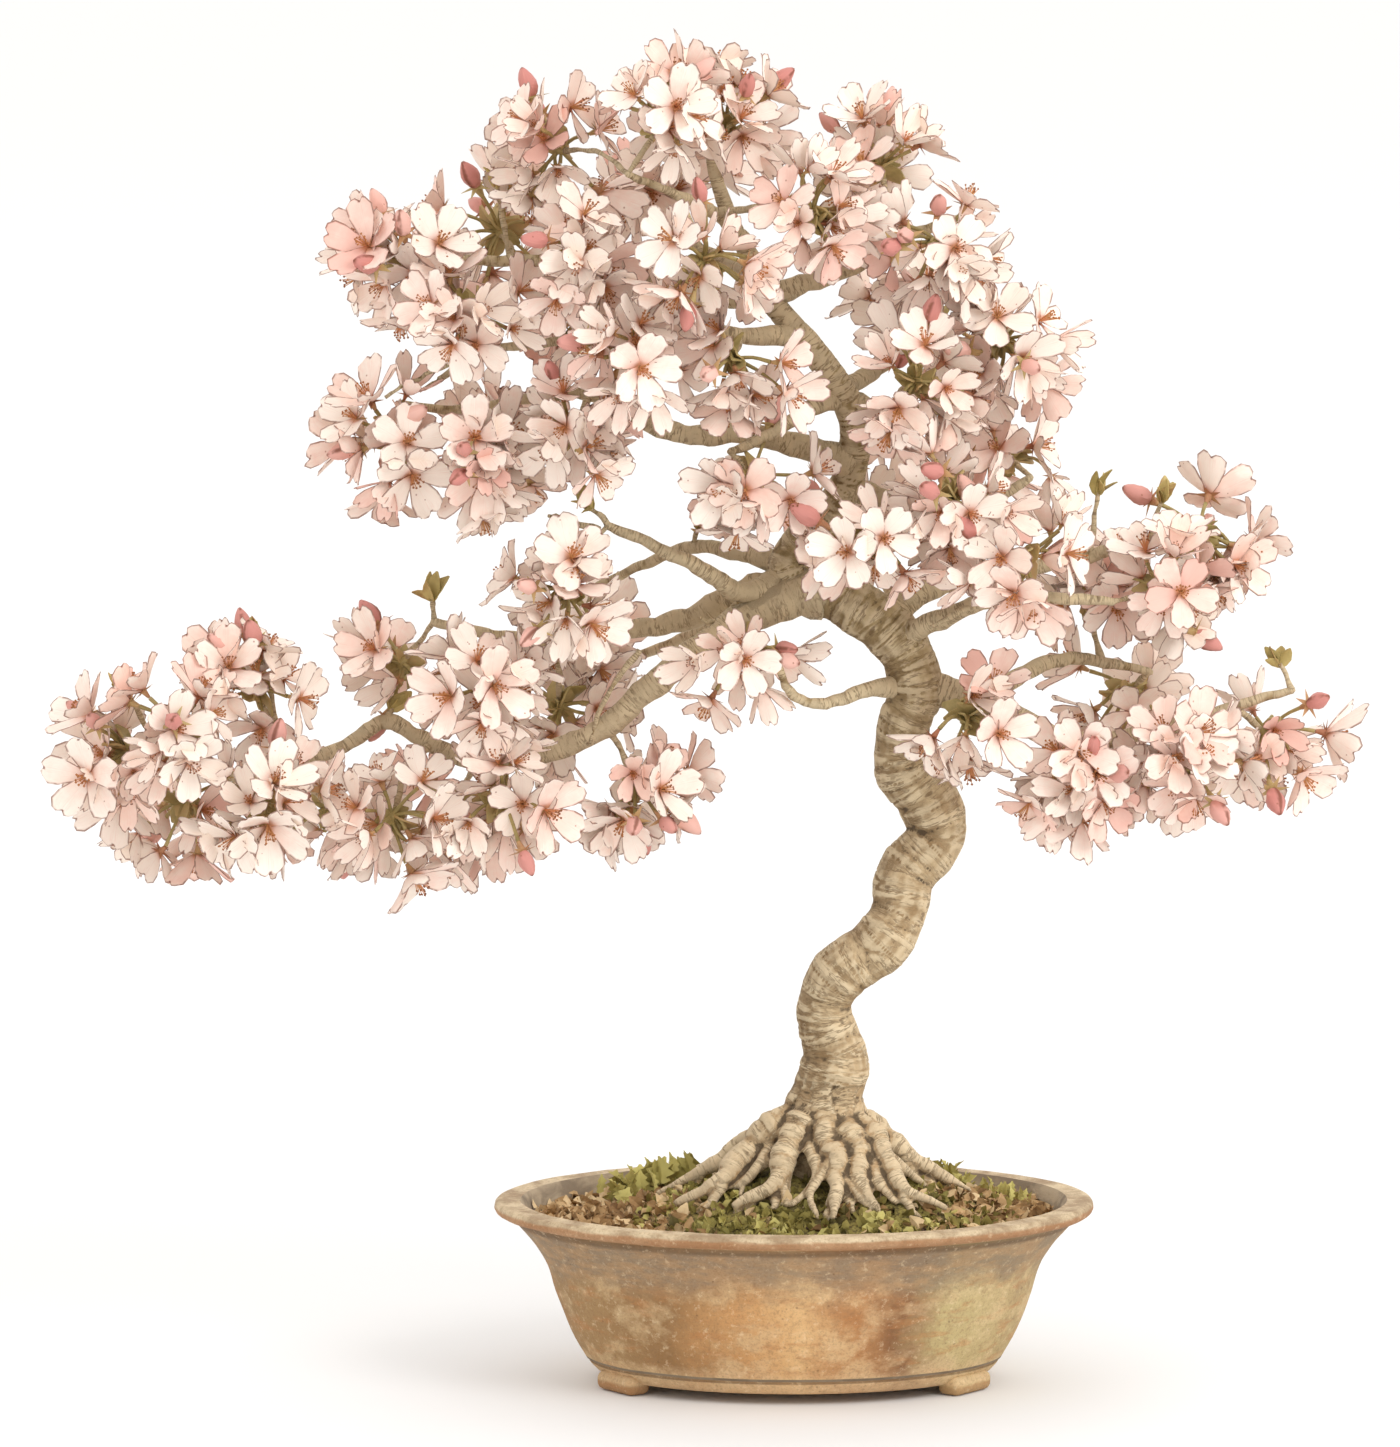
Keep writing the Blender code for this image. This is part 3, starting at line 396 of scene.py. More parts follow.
def bloom_samples(bloom):
    """Points all over a bloom and its stalk, by which it is kept clear of what is near it."""
    heart, axis, radius, hub = bloom["heart"], bloom["axis"], bloom["radius"], bloom["hub"]
    side, up = turned_frame(axis, bloom["roll"])
    points = [heart, heart - axis * 0.003, (heart + hub) / 2, heart * 0.25 + hub * 0.75]
    for petal in range(5):
        for turn, reach, lift in PETAL_SAMPLES:
            a = 2 * math.pi * (petal + turn) / 5
            spoke = side * math.cos(a) + up * math.sin(a)
            points.append(heart + spoke * radius * reach + axis * bloom["cup"] * lift)
    return points


def bud_samples(bud):
    """Points along a closed bud and its stalk."""
    heart, axis, hub = bud["heart"], bud["axis"], bud["hub"]
    points = [heart, (heart + hub) / 2, heart * 0.25 + hub * 0.75]
    return points + [heart + axis * BUD_LENGTH * share for share in (0.35, 0.7, 1.0)]


def stray(rng, amount):
    """A random push in any direction."""
    return Vector([rng.gauss(0, amount) for _ in range(3)])


def bloom_at(hub, way, length, lean, radius, roll, cup):
    """A bloom or bud: its heart lies along its way from the hub, and its axis leans off that way."""
    bloom = {"hub": hub, "way": way, "heart": hub + way * length, "axis": (way + lean).normalized()}
    return bloom | {"radius": radius, "roll": roll, "cup": cup}


def place_blooms(plan, tufts, lines, rng):
    """Hangs the blooms of each spray round its hub, each bent clear of the wood and of the other sprays."""
    wood = list(lines.values()) + [item["twig"] for item in plan]
    wood += [[(root, 0.0012), (tip, 0.0012), (tip + way * 0.012, 0.0085)] for root, tip, way in tufts]
    boxes = [line_box(line) for line in wood]
    taken = [(number, [item["hub"]]) for number, item in enumerate(plan)]
    for number, item in enumerate(plan):
        facing = Vector((0, -0.9 if item["depth"] < 12 else 0.9, -0.35))
        aim = (item["away"] * 0.8 + facing).normalized()
        item["flowers"] = []
        item["closed"] = []
        wanted = [("flowers", BLOOM_RADIUS)] * item["blooms"] + [("closed", BUD_RADIUS)] * item["buds"]
        for kind, radius in wanted:
            for _ in range(BLOOM_TRIES):
                way = stray(rng, 1).normalized()
                if kind == "closed":
                    way = (way + Vector((0, 0, 0.9)) + item["away"]).normalized()
                if way.dot(aim) < -0.30 or way.dot(-item["away"]) > 0.35:
                    continue
                spread = 0.36 if kind == "flowers" else 0.75
                if any(way.dot(other["way"]) > spread for other in item["flowers"] + item["closed"]):
                    continue
                length = STALK_LENGTH * rng.uniform(0.82, 1.25)
                lean = stray(rng, 0.16)
                size, roll = radius * rng.uniform(0.90, 1.08), rng.uniform(0, 2 * math.pi)
                cup = radius * rng.uniform(0.15, 0.55)
                flower = bloom_at(item["hub"], way, length, lean, size, roll, cup)
                points = bloom_samples(flower) if kind == "flowers" else bud_samples(flower)
                if is_clear(points, number, wood, boxes, taken, len(lines)):
                    item[kind].append(flower)
                    taken.append((number, points))
                    break
    return plan


def line_box(line):
    """The lowest and highest corner round a line of wood."""
    low = Vector(min(p[k] - r for p, r in line) for k in range(3))
    high = Vector(max(p[k] + r for p, r in line) for k in range(3))
    return low, high


def is_clear(points, number, wood, boxes, taken, bough_count, easing=1.0):
    """True where the points keep off the wood and off the blooms of other sprays."""
    low = Vector(min(p[k] for p in points) for k in range(3))
    high = Vector(max(p[k] for p in points) for k in range(3))
    for other, cloud in taken:
        if other == number:
            continue
        first = cloud[0]
        if any(first[k] < low[k] - 0.03 or first[k] > high[k] + 0.03 for k in range(3)):
            continue
        if any((p - q).length < SPRAYS_APART for p in points for q in cloud):
            return False
    for index, line in enumerate(wood):
        own_twig = index - bough_count == number
        start, end = boxes[index]
        if any(end[k] < low[k] - 0.004 or start[k] > high[k] + 0.004 for k in range(3)):
            continue
        room = (0.0030 if own_twig else 0.0040) * easing
        if any(distance_to_line(p, line) < room for p in points):
            return False
    return True


class Signal:
    """A number that varies over a surface. Python arithmetic on it adds Math nodes."""

    def __init__(self, finish, socket):
        self.finish = finish
        self.socket = socket

    def maths(self, operation, *values):
        """A Math node on these values."""
        sockets = dict(enumerate(values))
        return self.finish.add("ShaderNodeMath", {"operation": operation}, sockets)

    def __add__(self, other):
        return self.maths("ADD", self, other)

    __radd__ = __add__

    def __mul__(self, other):
        return self.maths("MULTIPLY", self, other)

    __rmul__ = __mul__

    def __sub__(self, other):
        return self.maths("SUBTRACT", self, other)

    def __rsub__(self, other):
        return self.maths("SUBTRACT", other, self)

    def __truediv__(self, other):
        return self.maths("DIVIDE", self, other)

    def __abs__(self):
        return self.maths("ABSOLUTE", self)

    def power(self, other):
        """This number to a power."""
        return self.maths("POWER", self, other)

    def highest(self, other):
        """The larger of this number and another."""
        return self.maths("MAXIMUM", self, other)

    def step(self, low, high):
        """0 below low and 1 above high, with a soft step between them."""
        sockets = {"Value": self, "From Min": low, "From Max": high}
        return self.finish.add("ShaderNodeMapRange", {"interpolation_type": "SMOOTHSTEP"}, sockets)


class Finish:
    """A procedural material under construction, round one Principled BSDF."""

    def __init__(self, name, view_colour):
        self.material = bpy.data.materials.new(name)
        self.material.use_nodes = True
        self.material.diffuse_color = (*view_colour, 1)
        self.tree = self.material.node_tree
        self.shader = self.tree.nodes["Principled BSDF"]

    def add(self, kind, options=None, sockets=None, output=0):
        """Adds a node, sets its options, then fills its sockets. Gives one output as a Signal."""
        node = self.tree.nodes.new(kind)
        for key, value in (options or {}).items():
            if key == "stops":
                self.set_stops(node.color_ramp, value)
            else:
                setattr(node, key, value)
        for key, value in (sockets or {}).items():
            self.join(node.inputs[key], value)
        return Signal(self, node.outputs[output])

    def join(self, target, value):
        """Links a signal to a socket, or sets the socket's own value."""
        if isinstance(value, Signal):
            self.tree.links.new(value.socket, target)
        elif hasattr(value, "__len__") and len(target.default_value) == 4:
            target.default_value = (*value[:3], 1)
        else:
            target.default_value = value

    def set_stops(self, ramp, stops):
        """Gives a ramp its (place, colour) stops."""
        while len(ramp.elements) < len(stops):
            ramp.elements.new(1.0)
        for element, (place, colour) in zip(ramp.elements, stops):
            element.position = place
            element.color = (*colour, 1)

    def place(self, offset=(0, 0, 0), scale=(1, 1, 1)):
        """Where a point is on the piece, moved and scaled."""
        coords = self.add("ShaderNodeTexCoord", output="Object")
        return self.moved(coords, offset, scale)

    def moved(self, coords, offset=(0, 0, 0), scale=(1, 1, 1)):
        """Coordinates moved and scaled by a Mapping node."""
        return self.add("ShaderNodeMapping", None, {"Vector": coords, "Location": offset, "Scale": scale})

    def attribute(self, name, output="Fac"):
        """A value that the mesh itself carries."""
        return self.add("ShaderNodeAttribute", {"attribute_name": name}, output=output)

    def parts(self, vector):
        """The three numbers of a vector."""
        first = self.add("ShaderNodeSeparateXYZ", None, {0: vector})
        return [Signal(self, output) for output in first.socket.node.outputs]

    def noise(self, coords, size, detail=3.0, roughness=0.55, warp=0.0):
        """Cloudy noise from 0 to 1 with features of about this size in metres."""
        sockets = {"Vector": coords, "Scale": 1 / size, "Detail": detail}
        sockets |= {"Roughness": roughness, "Distortion": warp}
        return self.add("ShaderNodeTexNoise", None, sockets)

    def cells(self, coords, size, output="Distance"):
        """Distance from the nearest of scattered points, cells of about this size apart."""
        return self.add("ShaderNodeTexVoronoi", None, {"Vector": coords, "Scale": 1 / size}, output)

    def mix(self, factor, first, second, blend="MIX"):
        """A colour between two colours."""
        options = {"data_type": "RGBA", "blend_type": blend}
        return self.add("ShaderNodeMix", options, {0: factor, 6: first, 7: second}, 2)

    def ramp(self, factor, stops):
        """A colour read from a ramp of stops."""
        return self.add("ShaderNodeValToRGB", {"stops": stops}, {"Fac": factor})

    def bump(self, height, distance, strength=0.6):
        """Fine relief by the surface's normal."""
        sockets = {"Height": height, "Distance": distance, "Strength": strength}
        self.join(self.shader.inputs["Normal"], self.add("ShaderNodeBump", None, sockets))

    def colour(self, value):
        """Sets the base colour."""
        self.join(self.shader.inputs["Base Color"], value)

    def roughness(self, value):
        """Sets the roughness."""
        self.join(self.shader.inputs["Roughness"], value)

    def fixed(self, **values):
        """Sets sockets that are the same all over: the name's underscores stand for spaces."""
        for key, value in values.items():
            self.shader.inputs[key.replace("_", " ")].default_value = value


def paint(red, green, blue):
    """A colour mixed on a 0 to 255 scale, as linear light."""
    return tuple(linear(part / 255) for part in (red, green, blue))


def linear(part):
    """One part of a colour as linear light."""
    return part / 12.92 if part <= 0.04045 else ((part + 0.055) / 1.055) ** 2.4


def colour_prop(name, description, colour):
    """A colour setting."""
    return bpy.props.FloatVectorProperty(
        name=name, description=description, default=colour, subtype="COLOR", min=0.0, max=1.0, size=3
    )


def length_prop(name, description, metres):
    """A length setting in metres."""
    return bpy.props.FloatProperty(
        name=name, description=description, default=metres, subtype="DISTANCE", unit="LENGTH", min=0.0
    )


def count_prop(name, description, count):
    """A whole number of pieces."""
    return bpy.props.IntProperty(name=name, description=description, default=count, min=0)


class BonsaiPotSettings(bpy.types.PropertyGroup):
    """Sizes and colours of the stoneware pot."""

    clay: colour_prop("Clay", "Warm ochre of the fired clay", paint(218, 178, 126))
    rust: colour_prop("Rust", "Orange-brown clouds in the clay", paint(182, 124, 74))
    ash: colour_prop("Ash", "Grey-brown band under the lip", paint(142, 124, 102))
    lichen: colour_prop("Lichen", "Pale greenish weathering", paint(192, 174, 124))
    lip: colour_prop("Lip", "Worn pale edge of the lip", paint(214, 194, 160))
    groove: length_prop("Groove", "Depth of the line cut above the feet", 0.0007)


class BonsaiGroundSettings(bpy.types.PropertyGroup):
    """Sizes, colours and counts of the moss, the litter and the soil."""

    moss: colour_prop("Moss", "Olive green of living moss", paint(156, 142, 76))
    shade: colour_prop("Shade", "Dark moss and soil between cushions", paint(92, 80, 44))
    litter: colour_prop("Litter", "Tan of dry leaf litter", paint(196, 162, 116))
    sprig: length_prop("Sprig", "Length of a moss leaflet", 0.0046)
    sprigs: count_prop("Sprigs", "Number of moss leaflets", 3200)
    flakes: count_prop("Flakes", "Number of litter flakes", 1500)
    grains: count_prop("Grains", "Number of grit grains", 260)


class BonsaiWoodSettings(bpy.types.PropertyGroup):
    """Sizes and colours of the wood and its bark."""

    ridge: colour_prop("Ridge", "Light tan of worn ridges", paint(214, 190, 152))
    bark: colour_prop("Bark", "Olive-brown of the bark", paint(158, 130, 92))
    # Colour of the painted shade in the grooves of the bark.
    groove_shade: colour_prop("Crack", "Dark brown in wrinkles and lenticels", paint(66, 50, 32))
    root: colour_prop("Root", "Cream-tan of the bare roots", paint(222, 198, 160))
    wrinkle: length_prop("Wrinkle", "Height of the wrinkles round the trunk", 0.00055)
    voxel: length_prop("Voxel", "Grain at which trunk and roots are fused", 0.00095)


class BonsaiBloomSettings(bpy.types.PropertyGroup):
    """Sizes, colours and counts of the blossoms."""

    cream: colour_prop("Cream", "Palest part of a petal", paint(255, 242, 230))
    blush: colour_prop("Blush", "Warm pink wash on a petal", paint(253, 222, 208))
    rose: colour_prop("Rose", "Deep pink of bases and buds", paint(232, 174, 160))
    margin: colour_prop("Margin", "Red-brown line along a petal's edge", paint(124, 72, 52))
    calyx: colour_prop("Calyx", "Red-brown of the calyx", paint(172, 112, 82))
    stalk: colour_prop("Stalk", "Olive of the stalks", paint(184, 164, 110))
    stamen: colour_prop("Stamen", "Orange-brown of the filaments", paint(204, 152, 100))
    anther: colour_prop("Anther", "Dark brown of the anthers", paint(136, 84, 52))
    petal: length_prop("Petal", "Thickness of a petal", 0.00030)
    fillers: count_prop("Fillers", "Further blooms hung in each spray", 9)


class BonsaiLeafSettings(bpy.types.PropertyGroup):
    """Sizes and colours of the young leaves."""

    leaf: colour_prop("Leaf", "Olive-bronze of the young leaves", paint(178, 158, 96))
    bronze: colour_prop("Bronze", "Brown of the leaf tips and scales", paint(146, 96, 52))
    length: length_prop("Length", "Length of a young leaf", 0.013)


class BonsaiStageSettings(bpy.types.PropertyGroup):
    """The floor, the light and the camera."""

    floor: colour_prop("Floor", "Plain pale floor", (0.86, 0.86, 0.86))
    lens: bpy.props.FloatProperty(
        name="Lens", description="Focal length of the camera", default=1500.0, unit="CAMERA", min=1.0
    )


def settings(name):
    """One group of this scene's settings."""
    return getattr(bpy.context.scene, name)


@functools.lru_cache(maxsize=None)
def growth():
    """The whole layout: wood lines, leaf tufts, sprays with their blooms, roots and moss."""
    rng = random.Random(SEED)
    lines = wood_lines()
    tufts = tuft_plan(lines)
    plan = place_blooms(spray_plan(lines, rng), tufts, lines, rng)
    return {"lines": lines, "tufts": tufts, "plan": plan, "roots": root_lines(rng)}


def choose(*objects):
    """Selects these objects alone, the first of them active."""
    if bpy.context.object and bpy.context.object.mode != "OBJECT":
        bpy.ops.object.mode_set(mode="OBJECT")
    bpy.ops.object.select_all(action="DESELECT")
    for obj in objects:
        obj.select_set(True)
    bpy.context.view_layer.objects.active = objects[0]
    return objects[0]


def fresh(add, **values):
    """A new primitive by one of Blender's add operators, with nothing else selected."""
    bpy.ops.object.select_all(action="DESELECT")
    add(**values)
    return bpy.context.object


def apply_modifier(obj, kind, **values):
    """Adds a modifier by its operator, sets it up and applies it."""
    choose(obj)
    bpy.ops.object.modifier_add(type=kind)
    modifier = obj.modifiers[-1]
    for key, value in values.items():
        setattr(modifier, key, value)
    bpy.ops.object.modifier_apply(modifier=modifier.name)


def join_objects(name, objects):
    """Joins objects into the first of them."""
    choose(*objects)
    if len(objects) > 1:
        bpy.ops.object.join()
    objects[0].name = name
    return objects[0]


def smooth(obj, angle=None):
    """Shades a piece smooth, or smooth up to an angle."""
    choose(obj)
    if angle is None:
        bpy.ops.object.shade_smooth()
    else:
        bpy.ops.object.shade_smooth_by_angle(angle=math.radians(angle))


def hand_in(obj, name, nodes=()):
    """Moves a finished piece to its place in the frame, and ties it to the frame."""
    obj.name = name
    obj.data.name = name
    obj.data.transform(Matrix.Translation(SHIFT))
    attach(obj, "root")
    if nodes:
        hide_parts(*nodes)
    return obj


def set_finish(obj, *finishes):
    """Gives a piece its finishes; faces that were marked for one of them keep it."""
    marks = [face.material_index for face in obj.data.polygons]
    obj.data.materials.clear()
    for finish in finishes:
        obj.data.materials.append(finish.material)
    if len(finishes) > 1:
        obj.data.polygons.foreach_set("material_index", marks)


def read_points(mesh):
    """A mesh's points as rows of x, y and z."""
    points = np.empty(len(mesh.vertices) * 3)
    mesh.vertices.foreach_get("co", points)
    return points.reshape(-1, 3)


def read_normals(mesh):
    """The normals at a mesh's points, as rows."""
    normals = np.empty(len(mesh.vertices) * 3)
    mesh.vertices.foreach_get("normal", normals)
    return normals.reshape(-1, 3)


def write_points(mesh, points):
    """Gives a mesh moved points."""
    mesh.vertices.foreach_set("co", np.asarray(points, dtype=np.float32).ravel())
    mesh.update()


def write_attribute(mesh, name, values, kind="FLOAT"):
    """A value or a vector for each point of a mesh."""
    layer = mesh.attributes.get(name) or mesh.attributes.new(name, kind, "POINT")
    key = "value" if kind == "FLOAT" else "vector"
    layer.data.foreach_set(key, np.asarray(values, dtype=np.float32).ravel())


def turned(name, outline, segments):
    """A turned oval shell: a ring is extruded and resized along an outline of (half length, height) pairs."""
    start, height = outline[0]
    obj = fresh(bpy.ops.mesh.primitive_circle_add, vertices=segments, radius=start, location=(0, 0, height))
    bpy.ops.object.transform_apply(location=True, rotation=False, scale=False)
    obj.data.transform(Matrix.Diagonal((1, SQUASH, 1, 1)))
    bpy.ops.object.mode_set(mode="EDIT")
    bpy.ops.mesh.select_all(action="SELECT")
    for (wide, low), (wide_next, high) in zip(outline, outline[1:]):
        bpy.ops.mesh.extrude_edges_move(TRANSFORM_OT_translate={"value": (0, 0, high - low)})
        ratio = wide_next / wide
        bpy.ops.transform.resize(value=(ratio, ratio, 1), center_override=(0, 0, high))
    bpy.ops.mesh.edge_face_add()
    bpy.ops.object.mode_set(mode="OBJECT")
    for vertex in obj.data.vertices:
        vertex.select = vertex.index < segments
    bpy.ops.object.mode_set(mode="EDIT")
    bpy.ops.mesh.select_mode(type="VERT")
    bpy.ops.mesh.edge_face_add()
    bpy.ops.object.mode_set(mode="OBJECT")
    obj.name = name
    return obj


def limbs(name, lines, sides):
    """Round limbs along lines of (place, radius): a bevelled curve with a spline for each, made a mesh."""
    curve = bpy.data.curves.new(name, "CURVE")
    curve.dimensions = "3D"
    curve.bevel_depth = 1.0
    curve.bevel_resolution = max(0, (sides - 4) // 2)
    curve.use_fill_caps = True
    for line in lines:
        spline = curve.splines.new("POLY")
        spline.points.add(len(line) - 1)
        for point, (place, radius) in zip(spline.points, line):
            point.co = (*place, 1)
            point.radius = radius
    obj = bpy.data.objects.new(name, curve)
    bpy.context.scene.collection.objects.link(obj)
    choose(obj)
    bpy.ops.object.convert(target="MESH")
    obj = bpy.context.object
    weld(obj)
    return obj


def weld(obj):
    """Merges doubled points and turns the faces outwards."""
    choose(obj)
    bpy.ops.object.mode_set(mode="EDIT")
    bpy.ops.mesh.select_all(action="SELECT")
    bpy.ops.mesh.remove_doubles(threshold=0.000001)
    bpy.ops.mesh.normals_make_consistent(inside=False)
    bpy.ops.object.mode_set(mode="OBJECT")


def inner_half_length(z):
    """Half length of the pot's inside at a height."""
    points = sorted((height, half) for half, height in inner_outline())
    for (z0, h0), (z1, h1) in zip(points, points[1:]):
        if z0 <= z <= z1 and z1 > z0:
            return h0 + (h1 - h0) * (z - z0) / (z1 - z0)
    return points[-1][1]


def inner_outline():
    """The pot's inner wall from the lip down to the floor, as (half length, height) pairs."""
    base, length = BASE_LENGTH / 2, POT_LENGTH / 2
    return [
        (length - LIP_WIDTH, POT_HEIGHT),
        (length - LIP_WIDTH - 0.0016, POT_HEIGHT - 0.002),
        (base + 0.0330 - WALL, POT_HEIGHT - LIP_HEIGHT - 0.007),
        (base + 0.0217 - WALL, NECK_HEIGHT),
        (base + 0.0184 - WALL, POT_HEIGHT * 0.50),
        (base + 0.0015, FLOOR_TOP + 0.003),
        (base - 0.0020, FLOOR_TOP),
    ]


def outer_outline(groove):
    """The pot's outer wall from its base to the lip, with a cut line above the feet and a rolled lip."""
    base, length = BASE_LENGTH / 2, POT_LENGTH / 2
    lip = POT_HEIGHT - LIP_HEIGHT
    wall = [
        (base + 0.0068, 0.0112), (base + 0.0125, 0.0215), (base + 0.0184, POT_HEIGHT * 0.50),
        (base + 0.0217, NECK_HEIGHT), (base + 0.0268, 0.0560), (base + 0.0330, lip - 0.005),
    ]
    knots = [(Vector((half, z, 0)), 0.0) for half, z in wall]
    curve = [(place.x, place.y) for place, _ in smooth_line(knots, 4)]
    foot = [
        (base - 0.004, FOOT_HEIGHT), (base + 0.0006, FOOT_HEIGHT + 0.0003),
        (base + 0.0022, FOOT_HEIGHT + 0.0015), (base + 0.0046, FOOT_HEIGHT + 0.0040), (base + 0.0050, 0.0088),
        (base + 0.0053 - groove, 0.0092), (base + 0.0056 - groove, 0.0098), (base + 0.0062, 0.0102),
    ]
    rolled = [
        (length - 0.0082, lip - 0.0030), (length - 0.0060, lip - 0.0008), (length - 0.0022, lip),
        (length - 0.0006, lip + 0.0009), (length, lip + 0.0022), (length - 0.0002, POT_HEIGHT - 0.0014),
        (length - 0.0009, POT_HEIGHT - 0.0005), (length - 0.0020, POT_HEIGHT),
        (length - 0.0045, POT_HEIGHT - 0.0002), (length - 0.0080, POT_HEIGHT - 0.0003),
    ]
    return foot + curve + rolled


def foot_places():
    """Middle and turn of each foot, on the base oval."""
    half_length = BASE_LENGTH / 2
    half_depth = half_length * SQUASH
    for side in (1, -1):
        for end in (1, -1):
            angle = math.atan2(side * math.sin(FOOT_TURN), end * math.cos(FOOT_TURN))
            place = Vector((half_length * math.cos(angle), half_depth * math.sin(angle), 0))
            tangent = Vector((-half_length * math.sin(angle), half_depth * math.cos(angle), 0))
            yield place, math.atan2(tangent.y, tangent.x)


def add_foot(place, turn):
    """One low foot: a block with rounded corners."""
    height = FOOT_HEIGHT + 0.0035
    foot = fresh(bpy.ops.mesh.primitive_cube_add, size=1, location=(0, 0, 0))
    foot.data.transform(Matrix.Diagonal((FOOT_LENGTH, FOOT_DEPTH, height, 1)))
    foot.data.transform(Matrix.Translation((0, 0, height / 2)))
    for edge in foot.data.edges:
        ends = [foot.data.vertices[i].co for i in edge.vertices]
        edge.select = abs(ends[0].z - ends[1].z) > height / 2
    bpy.ops.object.mode_set(mode="EDIT")
    bpy.ops.mesh.select_mode(type="EDGE")
    bpy.ops.mesh.bevel(offset=0.003, segments=5, profile=0.5)
    bpy.ops.object.mode_set(mode="OBJECT")
    apply_modifier(foot, "BEVEL", width=0.0006, segments=2, limit_method="ANGLE")
    foot.data.transform(Matrix.Translation(place) @ Matrix.Rotation(turn, 4, "Z"))
    return foot


def add_drain(side):
    """A cutter for one drain hole."""
    drain = fresh(bpy.ops.mesh.primitive_cylinder_add, vertices=32, radius=DRAIN_RADIUS, depth=0.04)
    drain.data.transform(Matrix.Translation((side * DRAIN_SPACING / 2, 0, 0.010)))
    return drain


def boolean_with(obj, others, operation):
    """Joins or cuts a piece with other solids, which then go."""
    for other in others:
        apply_modifier(obj, "BOOLEAN", operation=operation, object=other, solver="EXACT")
        bpy.data.objects.remove(other)


def build_pot():
    """The oval pot with its rolled lip, its cut line, four feet and two drain holes."""
    wanted = settings("bonsai_pot")
    inside = inner_outline()
    pot = turned("pot_body", outer_outline(wanted.groove) + inside, 192)
    boolean_with(pot, [add_foot(place, turn) for place, turn in foot_places()], "UNION")
    boolean_with(pot, [add_drain(side) for side in (1, -1)], "DIFFERENCE")
    points, normals = read_points(pot.data), read_normals(pot.data)
    for i, (x, y, z) in enumerate(points):
        if z > FOOT_HEIGHT + 0.0006:
            lump = noise.noise(Vector((x * 42, y * 42, z * 60))) * 0.00028
            lump += noise.noise(Vector((x * 170, y * 170, z * 210))) * 0.00012
            points[i] += normals[i] * lump
    write_points(pot.data, points)
    set_finish(pot, stoneware(wanted), stoneware_inside(wanted))
    for face in pot.data.polygons:
        middle = face.center
        wide = math.hypot(middle.x, middle.y / SQUASH)
        if middle.z > FLOOR_TOP - 0.0005 and wide < inner_half_length(min(middle.z, POT_HEIGHT)) + 0.0008:
            face.material_index = 1
    smooth(pot, 40)
    hand_in(pot, "pot_body", ["pot"])


def clay_place(finish, scale=(1, 1, 1)):
    """Place on the pot, measured from the middle of its base."""
    return finish.place((-SHIFT.x * scale[0], -SHIFT.y * scale[1], 0), scale)


